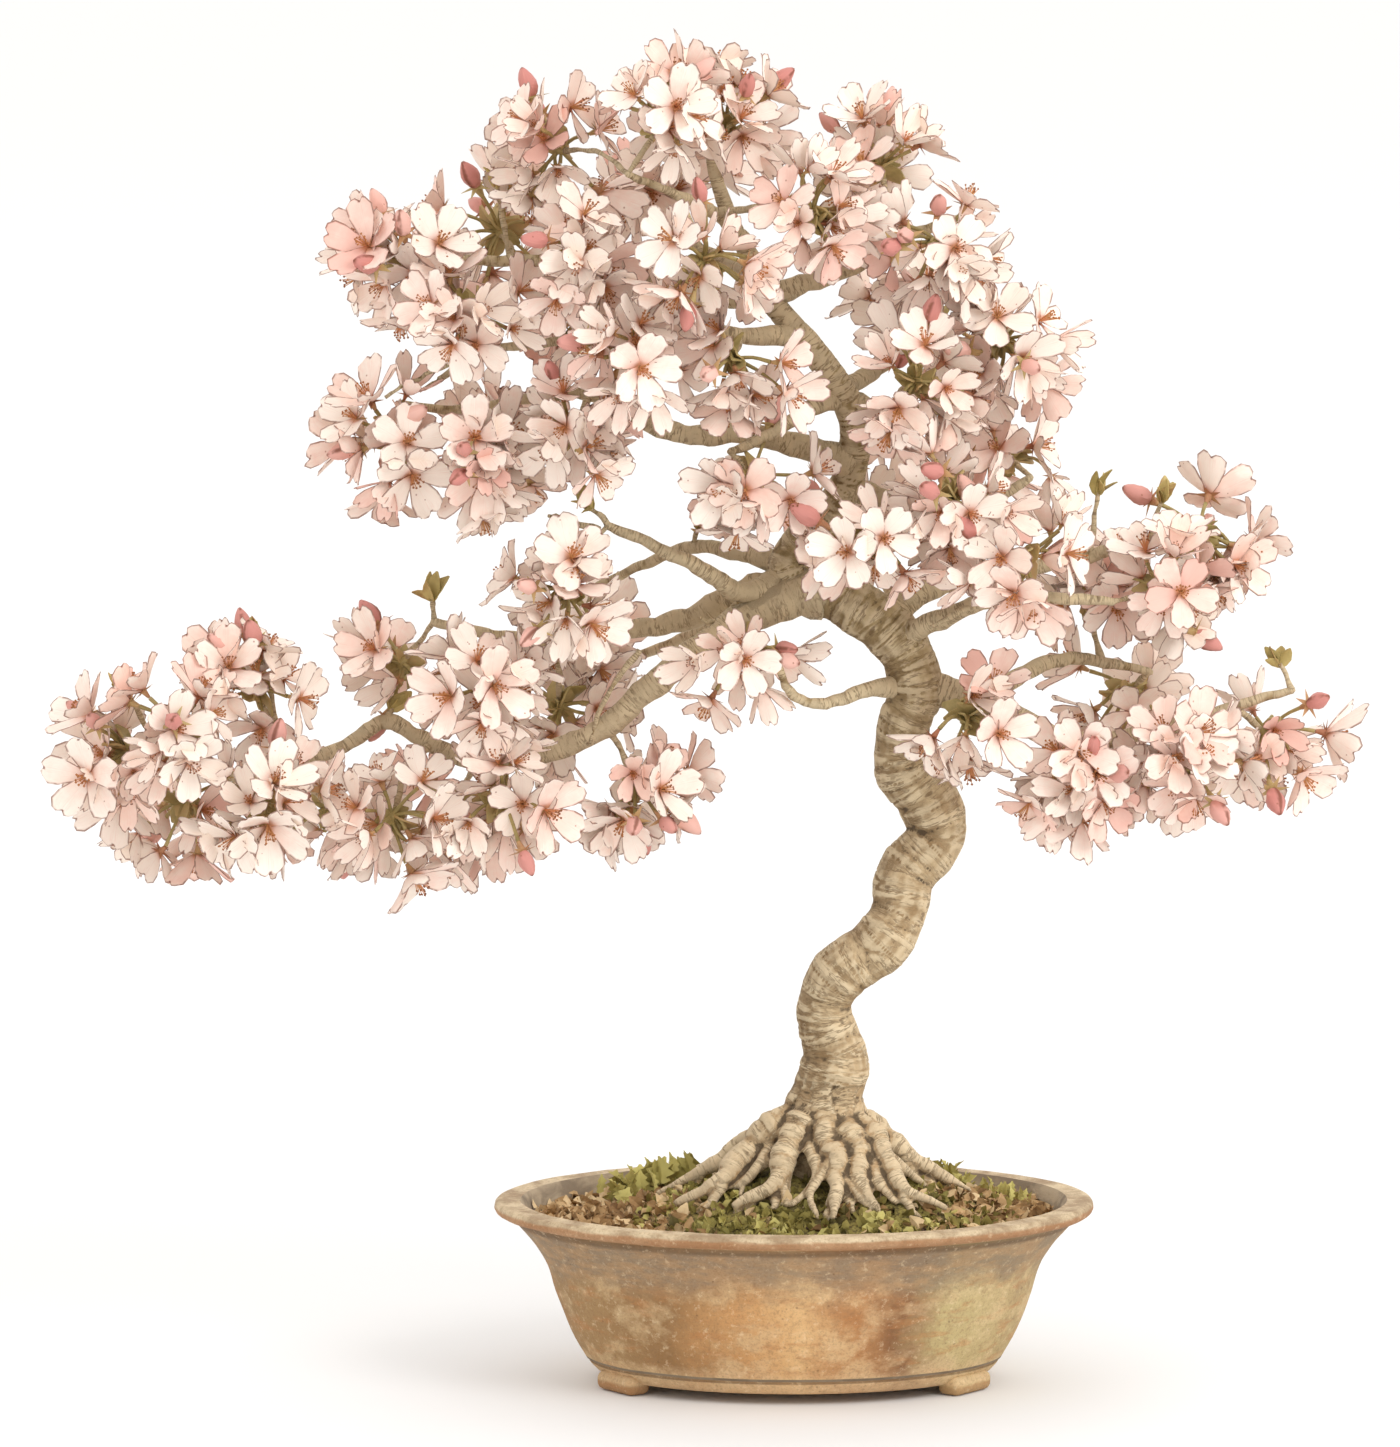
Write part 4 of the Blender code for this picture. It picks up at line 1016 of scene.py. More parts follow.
def stoneware(wanted):
    """Unglazed stoneware: ochre and rust washes, an ashy band under the lip, pale weathering at the right,
    darker at both ends; painted shade towards the left, in the cut line and under the lip.
    """
    finish = Finish("weathered_stoneware", wanted.clay)
    place = clay_place(finish)
    x, _, z = finish.parts(place)
    broad = finish.noise(place, 0.045, 4.0, 0.6, 0.15)
    cloud = finish.noise(clay_place(finish, (1, 1, 1.5)), 0.018, 5.0, 0.62, 0.15)
    brush = finish.noise(clay_place(finish, (1, 1, 4)), 0.016, 5.0, 0.65)
    fine = finish.noise(place, 0.0030, 5.0, 0.75)
    grain = finish.noise(place, 0.0009, 2.0, 0.6)
    drift = (x + (broad - 0.5) * 0.055 + (cloud - 0.5) * 0.035) / 0.24 + 0.5
    # Colour across the pot from left to right: the ochre, rust and pale greenish stops are the clay's own;
    # the darker browns towards the left are painted shade on the side away from the key light, and the ramp
    # also darkens at both ends.
    colour = finish.ramp(drift, [
        (0.00, paint(128, 100, 68)), (0.17, paint(162, 130, 88)), (0.30, paint(146, 110, 70)),
        (0.42, paint(198, 150, 98)), (0.52, wanted.clay), (0.62, paint(178, 128, 82)),
        (0.70, paint(130, 90, 58)), (0.79, wanted.lichen), (0.90, paint(180, 156, 112)),
        (1.00, paint(128, 102, 70)),
    ])
    colour = finish.mix(brush.step(0.50, 0.68) * 0.50, colour, wanted.rust)
    colour = finish.mix((1 - cloud.step(0.36, 0.54)) * 0.42, colour, paint(222, 194, 150))
    band = (z + (cloud - 0.5) * 0.026 + (broad - 0.5) * 0.02).step(0.042, 0.057)
    band = band * (1 - z.step(0.0655, 0.0672))
    ashy = finish.mix(brush.step(0.4, 0.6), wanted.ash, paint(168, 138, 104))
    colour = finish.mix(band * 0.85, colour, ashy)
    foot = (1 - (z + (cloud - 0.5) * 0.010).step(0.008, 0.017)) * z.step(0.003, 0.005)
    colour = finish.mix(foot * 0.60, colour, paint(216, 184, 142))
    feet = 1 - z.step(0.0030, 0.0046)
    colour = finish.mix(feet * 0.65, colour, paint(168, 122, 82))
    lip = z.step(0.0676, 0.0688)
    worn = finish.mix(cloud.step(0.36, 0.62), paint(166, 142, 112), wanted.lip)
    colour = finish.mix(lip, colour, worn)
    rolled = z.step(0.0672, 0.0682) * (1 - (z + (brush - 0.5) * 0.003).step(0.0708, 0.0722))
    colour = finish.mix(rolled * 0.75, colour, paint(164, 112, 70))
    # Painted shade: a dark line in the cut line above the feet and under the rolled lip.
    line = z.step(0.0086, 0.0091) * (1 - z.step(0.0100, 0.0104))
    under = z.step(0.0635, 0.0655) * (1 - z.step(0.0672, 0.0680))
    colour = finish.mix((line * 0.55).highest(under * 0.70), colour, paint(98, 74, 50))
    colour = finish.mix(fine.step(0.50, 0.68) * 0.42, colour, paint(150, 118, 84))
    colour = finish.mix((1 - fine.step(0.32, 0.46)) * 0.35, colour, paint(238, 214, 176))
    colour = finish.mix(grain.step(0.50, 0.66) * 0.25, colour, paint(122, 94, 66))
    specks = 1 - finish.cells(place, 0.0046).step(0.05, 0.15)
    colour = finish.mix(specks * cloud.step(0.45, 0.6) * 0.5, colour, paint(104, 76, 50))
    finish.colour(colour)
    finish.roughness(0.66 + fine * 0.26)
    finish.bump(fine * 0.6 + cloud * 0.5 + grain * 0.25 - specks * 0.3, 0.0008, 0.5)
    finish.fixed(Specular_IOR_Level=0.35)
    return finish


def stoneware_inside(wanted):
    """The pot's inner wall: grey and stained, darker towards the bottom."""
    finish = Finish("grey_stoneware", wanted.ash)
    place = clay_place(finish)
    cloud = finish.noise(clay_place(finish, (1, 1, 2)), 0.016, 4.0, 0.6, 0.5)
    fine = finish.noise(place, 0.0022, 3.0, 0.6)
    z = finish.parts(place)[2]
    colour = finish.mix(cloud.step(0.35, 0.68), paint(138, 122, 102), paint(182, 164, 138))
    # Darker towards the bottom of the inner wall.
    colour = finish.mix((1 - z.step(0.062, 0.069)) * 0.6, colour, paint(96, 80, 60))
    finish.colour(colour)
    finish.roughness(0.75 + fine * 0.2)
    finish.bump(fine + cloud * 0.6, 0.0006, 0.5)
    return finish


def ground_height(x, y):
    """Top of the moss, with its cushions."""
    cushion = 0.0012 * (math.sin(x * 260 + 1.3 * math.sin(y * 210)) * math.cos(y * 290) - 1)
    return mound_height(x, y) + cushion


def build_mound():
    """The body of the moss: a turned shell whose rings close in on the trunk, raised in cushions."""
    segments, ring_count = 160, 44
    edge = inner_half_length(MOUND_EDGE - 0.0026) - 0.0008
    bottom = SOIL_TOP + GAP
    low = inner_half_length(bottom) - 0.0012
    shares = [1 - (i / ring_count) ** 1.1 * 0.985 for i in range(ring_count + 1)]
    outline = [(low, bottom), (edge - 0.0004, MOUND_EDGE - 0.0026)]
    outline += [(edge * share, MOUND_EDGE) for share in shares]
    mound = turned("moss_mound", outline, segments)
    base = seen(*TRUNK[0][:3])
    points = read_points(mound.data)
    for point in points:
        if point[2] < MOUND_EDGE - 0.0001:
            continue
        share = math.hypot(point[0], point[1] / SQUASH) / edge
        x = point[0] + base.x * (1 - share)
        y = point[1] + base.y * (1 - share)
        rough = noise.noise(Vector((x * 300, y * 300, 0.5))) * 0.0009
        rough += noise.noise(Vector((x * 900, y * 900, 2))) * 0.0004
        fade = min(1.0, (1 - share) * 14)
        point[:] = (x, y, ground_height(x, y) + rough * fade)
    write_points(mound.data, points)
    smooth(mound)
    return mound


def moss_bed(wanted):
    """Damp moss and litter under the leaflets."""
    finish = Finish("moss_bed", wanted.moss)
    place = clay_place(finish)
    x = finish.parts(place)[0]
    cloud = finish.noise(place, 0.016, 4.0, 0.6, 0.4)
    fine = finish.noise(place, 0.0022, 4.0, 0.7)
    colour = finish.mix(fine.step(0.38, 0.62), wanted.shade, wanted.moss)
    far = (abs(x - 0.012) + (cloud - 0.5) * 0.05).step(0.046, 0.072)
    dry = finish.mix(fine.step(0.36, 0.60), paint(92, 68, 44), wanted.litter)
    colour = finish.mix(far, colour, dry)
    finish.colour(colour)
    finish.roughness(0.9)
    finish.bump(fine + cloud * 0.4, 0.0012, 0.8)
    return finish


def leaflet(name, rows, width, curl, teeth):
    """A small leaf blade modelled from a grid: its outline, its fold and its toothed edge."""
    blade = fresh(bpy.ops.mesh.primitive_grid_add, x_subdivisions=2, y_subdivisions=rows, size=2)
    blade.name = name
    points = read_points(blade.data)
    for point in points:
        u, v = point[0], (point[1] + 1) / 2
        wide = width * math.sin(math.pi * min(1.0, 0.08 + v * 0.90)) ** 0.8
        wide *= 1 + teeth * (round(v * rows) % 2)
        point[:] = (u * wide, v, abs(u) * wide * 0.45 - curl * v * v)
    write_points(blade.data, points)
    return blade


def scatter(name, templates, spots):
    """Copies of templates at (template number, matrix, tint), each with its own mesh, as one piece."""
    shapes = [shape_of(template, 0) for template in templates]
    copies = Copies()
    for number, matrix, tint in spots:
        copies.place(shapes[number], matrix, tint)
    return copies.made(name, False)


def on_oval(half_length, share, turn):
    """A place inside the pot's oval: a share of the way out, at a turn."""
    return half_length * share * math.cos(turn), half_length * SQUASH * share * math.sin(turn)


def off_roots(x, y, roots, room):
    """True where a place on the moss isn't under a root."""
    return all(math.hypot(p.x - x, p.y - y) > r + room for line in roots for p, r in line)


def upright_matrix(place, way, roll, size):
    """Stands a shape's +Y along a way, turned by roll and scaled."""
    side, _ = turned_frame(way, roll)
    turn = Matrix((side, way, side.cross(way))).transposed()
    return Matrix.Translation(place) @ turn.to_4x4() @ Matrix.Scale(size, 4)


def any_one(rng, templates, place, way, size):
    """One of the templates by chance, stood at a place at any turn: (template number, matrix)."""
    return rng.randrange(len(templates)), upright_matrix(place, way, rng.uniform(0, ANY_TURN), size)


# Taller tufts of moss by the pot's back rim: place across and behind, number of fronds, height
MOSS_TUFTS = [
    (-0.0640, 0.030, 46, 0.0150), (-0.0530, 0.036, 60, 0.0195), (-0.0440, 0.034, 34, 0.0140),
    (0.0600, 0.034, 22, 0.0150), (0.0720, 0.022, 26, 0.0110), (0.0850, 0.014, 18, 0.0100),
]


def build_sprigs(roots, wanted):
    """Moss leaflets that stand all over the mound, in cushions, clear of the roots."""
    rng = random.Random(SEED + 1)
    templates = [leaflet(f"sprig_{k}", 4, 0.30 + 0.06 * k, 0.10 + 0.12 * k, 0.35) for k in range(3)]
    edge = inner_half_length(MOUND_EDGE) - 0.0015
    spots = []
    while len(spots) < wanted.sprigs:
        share, turn = math.sqrt(rng.random()), rng.uniform(0, 2 * math.pi)
        x, y = on_oval(edge, share, turn)
        patch = noise.noise(Vector((x * 55, y * 55, 4)))
        green = 0.5 + patch * 0.9 - max(0.0, abs(x - 0.010) - 0.046) * 26
        if rng.random() > 0.35 + green or not off_roots(x, y, roots, 0.0006):
            continue
        lean = Vector((rng.gauss(0, 0.75), rng.gauss(0, 0.75), 0.75)).normalized()
        if share > 0.90:
            lean = (lean + Vector((-x * 5, -y * 5, 0.2))).normalized()
        size = wanted.sprig * rng.uniform(0.55, 1.25)
        place = Vector((x, y, ground_height(x, y) - 0.0006))
        tint = min(1.0, max(0.0, 0.5 + patch * 0.5 + rng.gauss(0, 0.22)))
        spots.append((*any_one(rng, templates, place, lean, size), tint))
    fronds = [leaflet(f"frond_{k}", 7, 0.20 + 0.05 * k, 0.16 + 0.10 * k, 0.85) for k in range(2)]
    for cx, cy, count, height in MOSS_TUFTS:
        for _ in range(count):
            x, y = cx + rng.gauss(0, 0.0048), cy + rng.gauss(0, 0.0035)
            lean = Vector((rng.gauss(0, 0.40), rng.gauss(0, 0.40), 1)).normalized()
            place = Vector((x, y, ground_height(x, y) + height * rng.uniform(-0.1, 0.45)))
            size = height * rng.uniform(0.40, 0.62)
            kind, home = any_one(rng, fronds, place, lean, size)
            spots.append((len(templates) + kind, home, rng.uniform(0.55, 1)))
    return scatter("moss_sprigs", templates + fronds, spots)


def moss_leaf(wanted):
    """Moss leaflets in patches, from dark painted shade to yellow-green painted light."""
    finish = Finish("moss_leaf", wanted.moss)
    tint = finish.attribute("tint")
    cloud = finish.noise(finish.place(), 0.006, 3.0, 0.6)
    colour = finish.ramp(tint * 0.8 + cloud * 0.35, [
        (0.15, wanted.shade), (0.40, paint(128, 118, 56)), (0.62, wanted.moss),
        (0.90, paint(206, 196, 120)),
    ])
    finish.colour(colour)
    finish.roughness(0.72 + cloud * 0.2)
    finish.bump(finish.noise(finish.place(), 0.0012, 2.0), 0.0003, 0.4)
    return finish


def build_litter(roots, wanted):
    """Dry curled flakes, thick towards the pot's two ends."""
    rng = random.Random(SEED + 2)
    templates = [leaflet(f"flake_{k}", 3, 0.34 + 0.08 * k, 0.25 + 0.15 * k, 0.2) for k in range(3)]
    edge = inner_half_length(MOUND_EDGE) - 0.0022
    spots = []
    while len(spots) < wanted.flakes:
        share, turn = math.sqrt(rng.random()), rng.uniform(0, 2 * math.pi)
        x, y = on_oval(edge, share, turn)
        side = max(0.0, abs(x - 0.008) - 0.038) * 22
        if rng.random() > 0.10 + side or not off_roots(x, y, roots, 0.001):
            continue
        lean = Vector((rng.gauss(0, 1), rng.gauss(0, 1), rng.uniform(0.1, 0.6))).normalized()
        place = Vector((x, y, ground_height(x, y) + rng.uniform(0.0002, 0.0016)))
        size = rng.uniform(0.0026, 0.0058)
        spots.append((*any_one(rng, templates, place, lean, size), rng.random()))
    return scatter("leaf_litter", templates, spots)


def dry_leaf(wanted):
    """Dry litter: tan to brown, each flake in its own shade."""
    finish = Finish("dry_leaf", wanted.litter)
    tint = finish.attribute("tint")
    cloud = finish.noise(finish.place(), 0.004, 3.0, 0.6)
    colour = finish.ramp(tint * 0.75 + cloud * 0.4, [
        (0.15, paint(112, 82, 50)), (0.38, paint(160, 124, 80)), (0.65, wanted.litter),
        (0.95, paint(226, 200, 156)),
    ])
    finish.colour(colour)
    finish.roughness(0.8)
    finish.bump(cloud, 0.0004, 0.5)
    return finish


def build_grit(roots, wanted):
    """Grains of grit and soil between the cushions."""
    rng = random.Random(SEED + 3)
    templates = []
    for k in range(3):
        grain = fresh(bpy.ops.mesh.primitive_ico_sphere_add, subdivisions=1, radius=1)
        points = read_points(grain.data)
        for i, point in enumerate(points):
            points[i] = point * (0.8 + 0.35 * noise.noise(Vector(point * 1.7 + k)))
        write_points(grain.data, points)
        templates.append(grain)
    edge = inner_half_length(MOUND_EDGE) - 0.003
    spots = []
    while len(spots) < wanted.grains:
        share, turn = rng.uniform(0.3, 1) ** 0.6, rng.uniform(0, 2 * math.pi)
        x, y = on_oval(edge, share, turn)
        if not off_roots(x, y, roots, 0.001):
            continue
        size = rng.uniform(0.0005, 0.0015)
        place = Vector((x, y, ground_height(x, y) + size * 0.4))
        way = stray(rng, 1).normalized()
        spots.append((rng.randrange(3), upright_matrix(place, way, 0.0, size), rng.random()))
    return scatter("grit", templates, spots)


def grit_stone(wanted):
    """Grit: brown to grey-tan grains."""
    finish = Finish("grit_stone", wanted.litter)
    tint = finish.attribute("tint")
    fine = finish.noise(finish.place(), 0.0009, 3.0)
    stops = [(0.1, paint(70, 52, 38)), (0.5, paint(128, 100, 74)), (0.9, paint(190, 170, 140))]
    finish.colour(finish.ramp(tint, stops))
    finish.roughness(0.8)
    finish.bump(fine, 0.0003, 0.5)
    return finish


def soil_finish():
    """Dark granular potting soil."""
    finish = Finish("potting_soil", paint(74, 52, 36))
    place = finish.place()
    crumbs = finish.cells(place, 0.0035)
    fine = finish.noise(place, 0.0014, 4.0, 0.7)
    colour = finish.mix(fine.step(0.35, 0.7), paint(46, 32, 22), paint(110, 82, 56))
    finish.colour(finish.mix(crumbs.step(0.35, 0.7) * 0.6, colour, paint(30, 22, 16)))
    finish.roughness(0.95)
    finish.bump(fine - crumbs, 0.0015, 0.8)
    return finish


def mesh_finish():
    """Black plastic of the drain screens."""
    finish = Finish("black_plastic_mesh", (0.02, 0.02, 0.02))
    fine = finish.noise(finish.place(), 0.0016, 3.0)
    finish.colour(finish.mix(fine.step(0.4, 0.7), (0.010, 0.010, 0.010), (0.035, 0.034, 0.032)))
    finish.roughness(0.42 + fine * 0.2)
    finish.bump(fine, 0.0002, 0.3)
    return finish


def build_ground():
    """Moss mound, leaflets, litter and grit, with finishes for the soil and the drain screens."""
    wanted = settings("bonsai_ground")
    roots = growth()["roots"]
    mound = build_mound()
    set_finish(mound, moss_bed(wanted))
    hand_in(mound, "moss_mound", ["moss"])
    scattered = (
        ("moss_sprigs", build_sprigs, moss_leaf, "moss"),
        ("leaf_litter", build_litter, dry_leaf, "moss"),
        ("grit", build_grit, grit_stone, "soil"),
    )
    for name, build, look, slot in scattered:
        piece = build(roots, wanted)
        set_finish(piece, look(wanted))
        hand_in(piece, name, ["moss"])
    set_finish(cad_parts["soil"], soil_finish())
    for name in ("drain_screen_left", "drain_screen_right"):
        set_finish(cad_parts[name], mesh_finish())


def root_forks(roots, rng):
    """Side roots that leave the main roots half way down and hug the moss."""
    forks = []
    for line in roots:
        turns = [rng.choice((-1, 1)) * rng.uniform(*limits) for limits in ((0.35, 0.6), (0.6, 0.9))]
        for turn in turns:
            start = 2 if abs(turn) < 0.6 else 3
            place, radius = line[start]
            ahead = line[min(start + 1, len(line) - 1)][0] - line[start - 1][0]
            heading = math.atan2(ahead.y, ahead.x) + turn
            knots = [(place.copy(), radius * 0.85)]
            reach = rng.uniform(0.012, 0.020)
            for share, slim in ((0.4, 0.66), (0.75, 0.46), (1.0, 0.24)):
                bend = heading - turn * 0.6 * share
                spot = place + level(bend) * reach * share
                size = radius * slim
                spot.z = mound_height(spot.x, spot.y) + size * 0.5 - 0.0008 * share
                knots.append((spot, size))
            forks.append(knots)
    return forks


def finger_roots(base, rng):
    """Thin bony roots that arch out of the flare towards the front and drop to the moss."""
    fingers = []
    for k in range(11):
        angle = math.radians(-172 + 16 * k + rng.uniform(-5, 5))
        reach = rng.uniform(0.034, 0.047)
        thick = rng.uniform(0.0024, 0.0034)
        way = level(angle)
        knots = [(base + way * 0.006 + Vector((0, 0, rng.uniform(0.004, 0.014))), thick)]
        bends = ((0.36, 1.15, 0.0125), (0.58, 0.95, 0.0090), (0.80, 0.75, 0.0035), (1.0, 0.42, -0.0004))
        for share, slim, lift in bends:
            bend = angle + 0.16 * math.sin(share * 8 + k * 2.1)
            place = base + level(bend) * reach * share
            place.z = mound_height(place.x, place.y) + lift + thick * slim
            knots.append((place, thick * slim))
        fingers.append(knots)
    return fingers


def knobbly(line, phase, amount):
    """Swells and pinches a line's radius, as old wood does."""
    made = []
    for i, (place, radius) in enumerate(line):
        swell = 1 + amount * math.sin(i * 0.9 + phase) + amount * 0.6 * math.sin(i * 2.3 + phase * 1.7)
        made.append((place, radius * swell))
    return made


def wander(line, phase, amount):
    """Bends a fine line gently from side to side, less at its ends."""
    made = []
    for i, (place, radius) in enumerate(line):
        ends = math.sin(math.pi * i / max(1, len(line) - 1)) ** 0.5
        drift = Vector([noise.noise(Vector((i * 0.35, phase, k * 7.0))) for k in range(3)])
        made.append((place + drift * amount * ends, radius))
    return made


def mark_bark(obj, lines):
    """Writes each point's place along and round its limb, as if the limb were straight."""
    samples = []
    offset = 0.0
    for line in lines:
        across = None
        for i, (place, radius) in enumerate(line):
            ahead = (line[min(i + 1, len(line) - 1)][0] - line[max(i - 1, 0)][0]).normalized()
            across = ahead.orthogonal() if across is None else across - ahead * across.dot(ahead)
            across.normalize()
            if i:
                offset += (place - line[i - 1][0]).length
            samples.append((place, radius, ahead, across.copy(), offset))
        offset += 0.05
    tree = KDTree(len(samples))
    for i, sample in enumerate(samples):
        tree.insert(sample[0], i)
    tree.balance()
    straight, sizes = [], []
    for vertex in obj.data.vertices:
        best = min(tree.find_n(vertex.co, 4), key=lambda hit: hit[2] - samples[hit[1]][1])
        place, radius, ahead, across, along = samples[best[1]]
        out = vertex.co - place
        straight.append((out.dot(across), out.dot(ahead.cross(across)), along + out.dot(ahead)))
        sizes.append(radius)
    write_attribute(obj.data, "straight", straight, "FLOAT_VECTOR")
    return np.array(straight), np.array(sizes)


def raise_bark(obj, straight, sizes, wrinkle):
    """Raises wrinkles that run round the limb, knuckles and flutes."""
    points, normals = read_points(obj.data), read_normals(obj.data)
    for i, (x, y, s) in enumerate(straight):
        ring = noise.noise(Vector((x * 34, y * 34, s * 260)))
        fold = noise.noise(Vector((x * 60 + 3, y * 60, s * 120)))
        lump = noise.noise(Vector((x * 90 + 5, y * 90, s * 70)))
        flute = noise.noise(Vector((x * 190, y * 190, s * 26 + 9)))
        crease = math.exp(-(ring / 0.07) ** 2)
        strength = wrinkle * min(1.0, sizes[i] / 0.0085)
        points[i] += normals[i] * strength * (1.1 * lump + 0.9 * fold + 0.6 * flute - 0.75 * crease)
    write_points(obj.data, points)


def mark_hollows(obj, rounds, depth):
    """Writes how far each point lies in a groove, towards 1, or on a ridge, towards 0."""
    mesh = obj.data
    points = read_points(mesh)
    ends = np.empty(len(mesh.edges) * 2, dtype=np.int64)
    mesh.edges.foreach_get("vertices", ends)
    ends = ends.reshape(-1, 2)
    count = np.bincount(ends.ravel(), minlength=len(points))
    soft = points
    for _ in range(rounds):
        total = np.zeros_like(points)
        for here, there in ((0, 1), (1, 0)):
            for axis in range(3):
                total[:, axis] += np.bincount(ends[:, here], soft[ends[:, there], axis], len(points))
        soft = total / count[:, None]
    sunk = ((soft - points) * read_normals(mesh)).sum(1)
    # The bark finish paints shade in the grooves and a highlight on the ridges by this value.
    write_attribute(mesh, "hollow", np.clip(0.5 + sunk / depth, 0, 1))


def bark_finish(name, wanted, root_share):
    """Cherry bark: tan and olive, ringed with wrinkles, with dark lenticels, darker towards the bottom;
    painted shade in the grooves, on the side facing -x and on faces turned down, a painted highlight on the
    ridges; cream-tan roots.
    """
    finish = Finish(name, wanted.bark)
    place = clay_place(finish)
    z = finish.parts(place)[2]
    limb = finish.attribute("straight", "Vector")
    hollow = finish.attribute("hollow")
    cloud = finish.noise(place, 0.013, 4.0, 0.6, 0.2)
    wash = finish.noise(finish.moved(limb, scale=(0.6, 0.6, 1.0)), 0.0065, 4.0, 0.65)
    rings = finish.noise(finish.moved(limb, scale=(0.16, 0.16, 1.0)), 0.0024, 3.0, 0.65)
    fine = finish.noise(limb, 0.0011, 3.0, 0.65)
    colour = finish.mix((cloud * 0.6 + wash * 0.55).step(0.42, 0.74), wanted.bark, wanted.ridge)
    olive = finish.mix((cloud * 0.5 + wash * 0.5).step(0.36, 0.66), paint(118, 102, 62), paint(178, 158, 112))
    height = (z + (cloud - 0.5) * 0.10).step(0.21, 0.345)
    colour = finish.mix(height * 0.80, colour, olive)
    low = 1 - (z + (cloud - 0.5) * 0.03).step(0.094, 0.150)
    root = finish.mix((wash * 0.6 + fine * 0.4).step(0.36, 0.60), paint(184, 150, 108), wanted.root)
    colour = finish.mix(low * root_share, colour, root)
    # Painted shade: darker on the side facing -x, away from the key light, and on faces turned down.
    facing = finish.parts(finish.add("ShaderNodeNewGeometry", output="Normal"))
    painted_shade_side = 1 - (facing[0] * 0.85 + facing[2] * 0.30 + (wash - 0.5) * 0.5).step(-0.80, 0.60)
    colour = finish.mix(painted_shade_side * 0.66, colour, paint(102, 78, 46))
    # Painted highlight: lighter on the ridges, by the hollow value.
    colour = finish.mix((1 - hollow.step(0.26, 0.46)) * 0.50, colour, paint(232, 214, 180))
    lines = 1 - abs(rings - 0.5).step(0.012, 0.045)
    colour = finish.mix(lines * wash.step(0.38, 0.58) * 0.60, colour, paint(98, 74, 44))
    colour = finish.mix(fine.step(0.56, 0.72) * 0.22, colour, paint(112, 86, 54))
    pores = finish.moved(limb, scale=(0.42, 0.42, 1.0))
    spots = 1 - finish.cells(pores, 0.0058).step(0.11, 0.17)
    colour = finish.mix(spots * cloud.step(0.40, 0.55) * 0.62, colour, paint(94, 70, 42))
    # Painted shade: dark in the grooves, by the hollow value.
    colour = finish.mix(hollow.step(0.54, 0.80) * 0.80, colour, wanted.groove_shade)
    # Darker towards the bottom, where the roots reach the moss.
    low_darkening = 1 - z.step(0.068, 0.080)
    colour = finish.mix(low_darkening * 0.45, colour, paint(120, 98, 60))
    finish.colour(colour)
    finish.roughness(0.78 + fine * 0.18)
    finish.bump(wash * 0.5 - lines * 0.35 + fine * 0.35 - spots * 0.3, 0.0008, 0.6)
    return finish


def dress_wood(obj, name, lines, wrinkle, smoothing, finish):
    """Bark on a piece of wood: wrinkles, marks for its finish, and its place in the frame."""
    straight, sizes = mark_bark(obj, lines)
    raise_bark(obj, straight, sizes, wrinkle)
    mark_hollows(obj, *smoothing)
    smooth(obj)
    set_finish(obj, finish)
    hand_in(obj, name, ["tree"])


def old_wood(line, steps, swell, bend):
    """A finer line of wood that swells, pinches and wanders; swell and bend hold a phase and an amount."""
    return wander(knobbly(smooth_line(line, steps), *swell), *bend)


def build_wood():
    """Trunk and roots fused in one skin, and the boughs and twigs that grow from them."""
    wanted = settings("bonsai_wood")
    made = growth()
    lines, plan, tufts = made["lines"], made["plan"], made["tufts"]
    rng = random.Random(SEED + 4)
    base = lines["trunk"][0][0]
    stump = [
        (Vector((base.x, base.y, STUMP_BOTTOM)), STUMP_RADIUS * 0.86),
        (Vector((base.x, base.y, MOUND_TOP - 0.004)), STUMP_RADIUS),
    ]
    trunk = knobbly(smooth_line(stump + lines["trunk"], 6), 0.4, 0.035)
    roots = [old_wood(line, 5, (k * 1.3, 0.14), (k * 5.0, 0.0022)) for k, line in enumerate(made["roots"])]
    thin = root_forks(made["roots"], rng) + finger_roots(base, rng)
    forks = [old_wood(line, 4, (k * 0.9, 0.13), (k * 3.0 + 50, 0.0018)) for k, line in enumerate(thin)]
    grown = [trunk, *roots, *forks]
    skin = limbs("trunk_and_roots", grown, 18)
    apply_modifier(skin, "REMESH", mode="VOXEL", voxel_size=wanted.voxel, adaptivity=0.0)
    apply_modifier(skin, "SMOOTH", factor=0.5, iterations=4)
    finish = bark_finish("trunk_bark", wanted, 0.85)
    dress_wood(skin, "trunk_and_roots", grown, wanted.wrinkle, (9, 0.0011), finish)
    boughs = []
    for k, (name, line) in enumerate(lines.items()):
        if name == "trunk":
            continue
        fine = old_wood(line, 9, (k * 1.1, 0.05), (k * 3.1, 0.0012))
        collar = [(p, r * (1 + 0.30 * math.exp(-(i / 5.0) ** 2))) for i, (p, r) in enumerate(fine)]
        last, size = collar[-1]
        collar.append((last + (last - collar[-2][0]).normalized() * size * 0.8, size * 0.45))
        boughs.append(collar)
    limb = limbs("boughs", boughs, 12)
    finish = bark_finish("bough_bark", wanted, 0.0)
    dress_wood(limb, "boughs", boughs, wanted.wrinkle * 1.3, (2, 0.0009), finish)
    build_twigs(plan, tufts, rng, wanted)


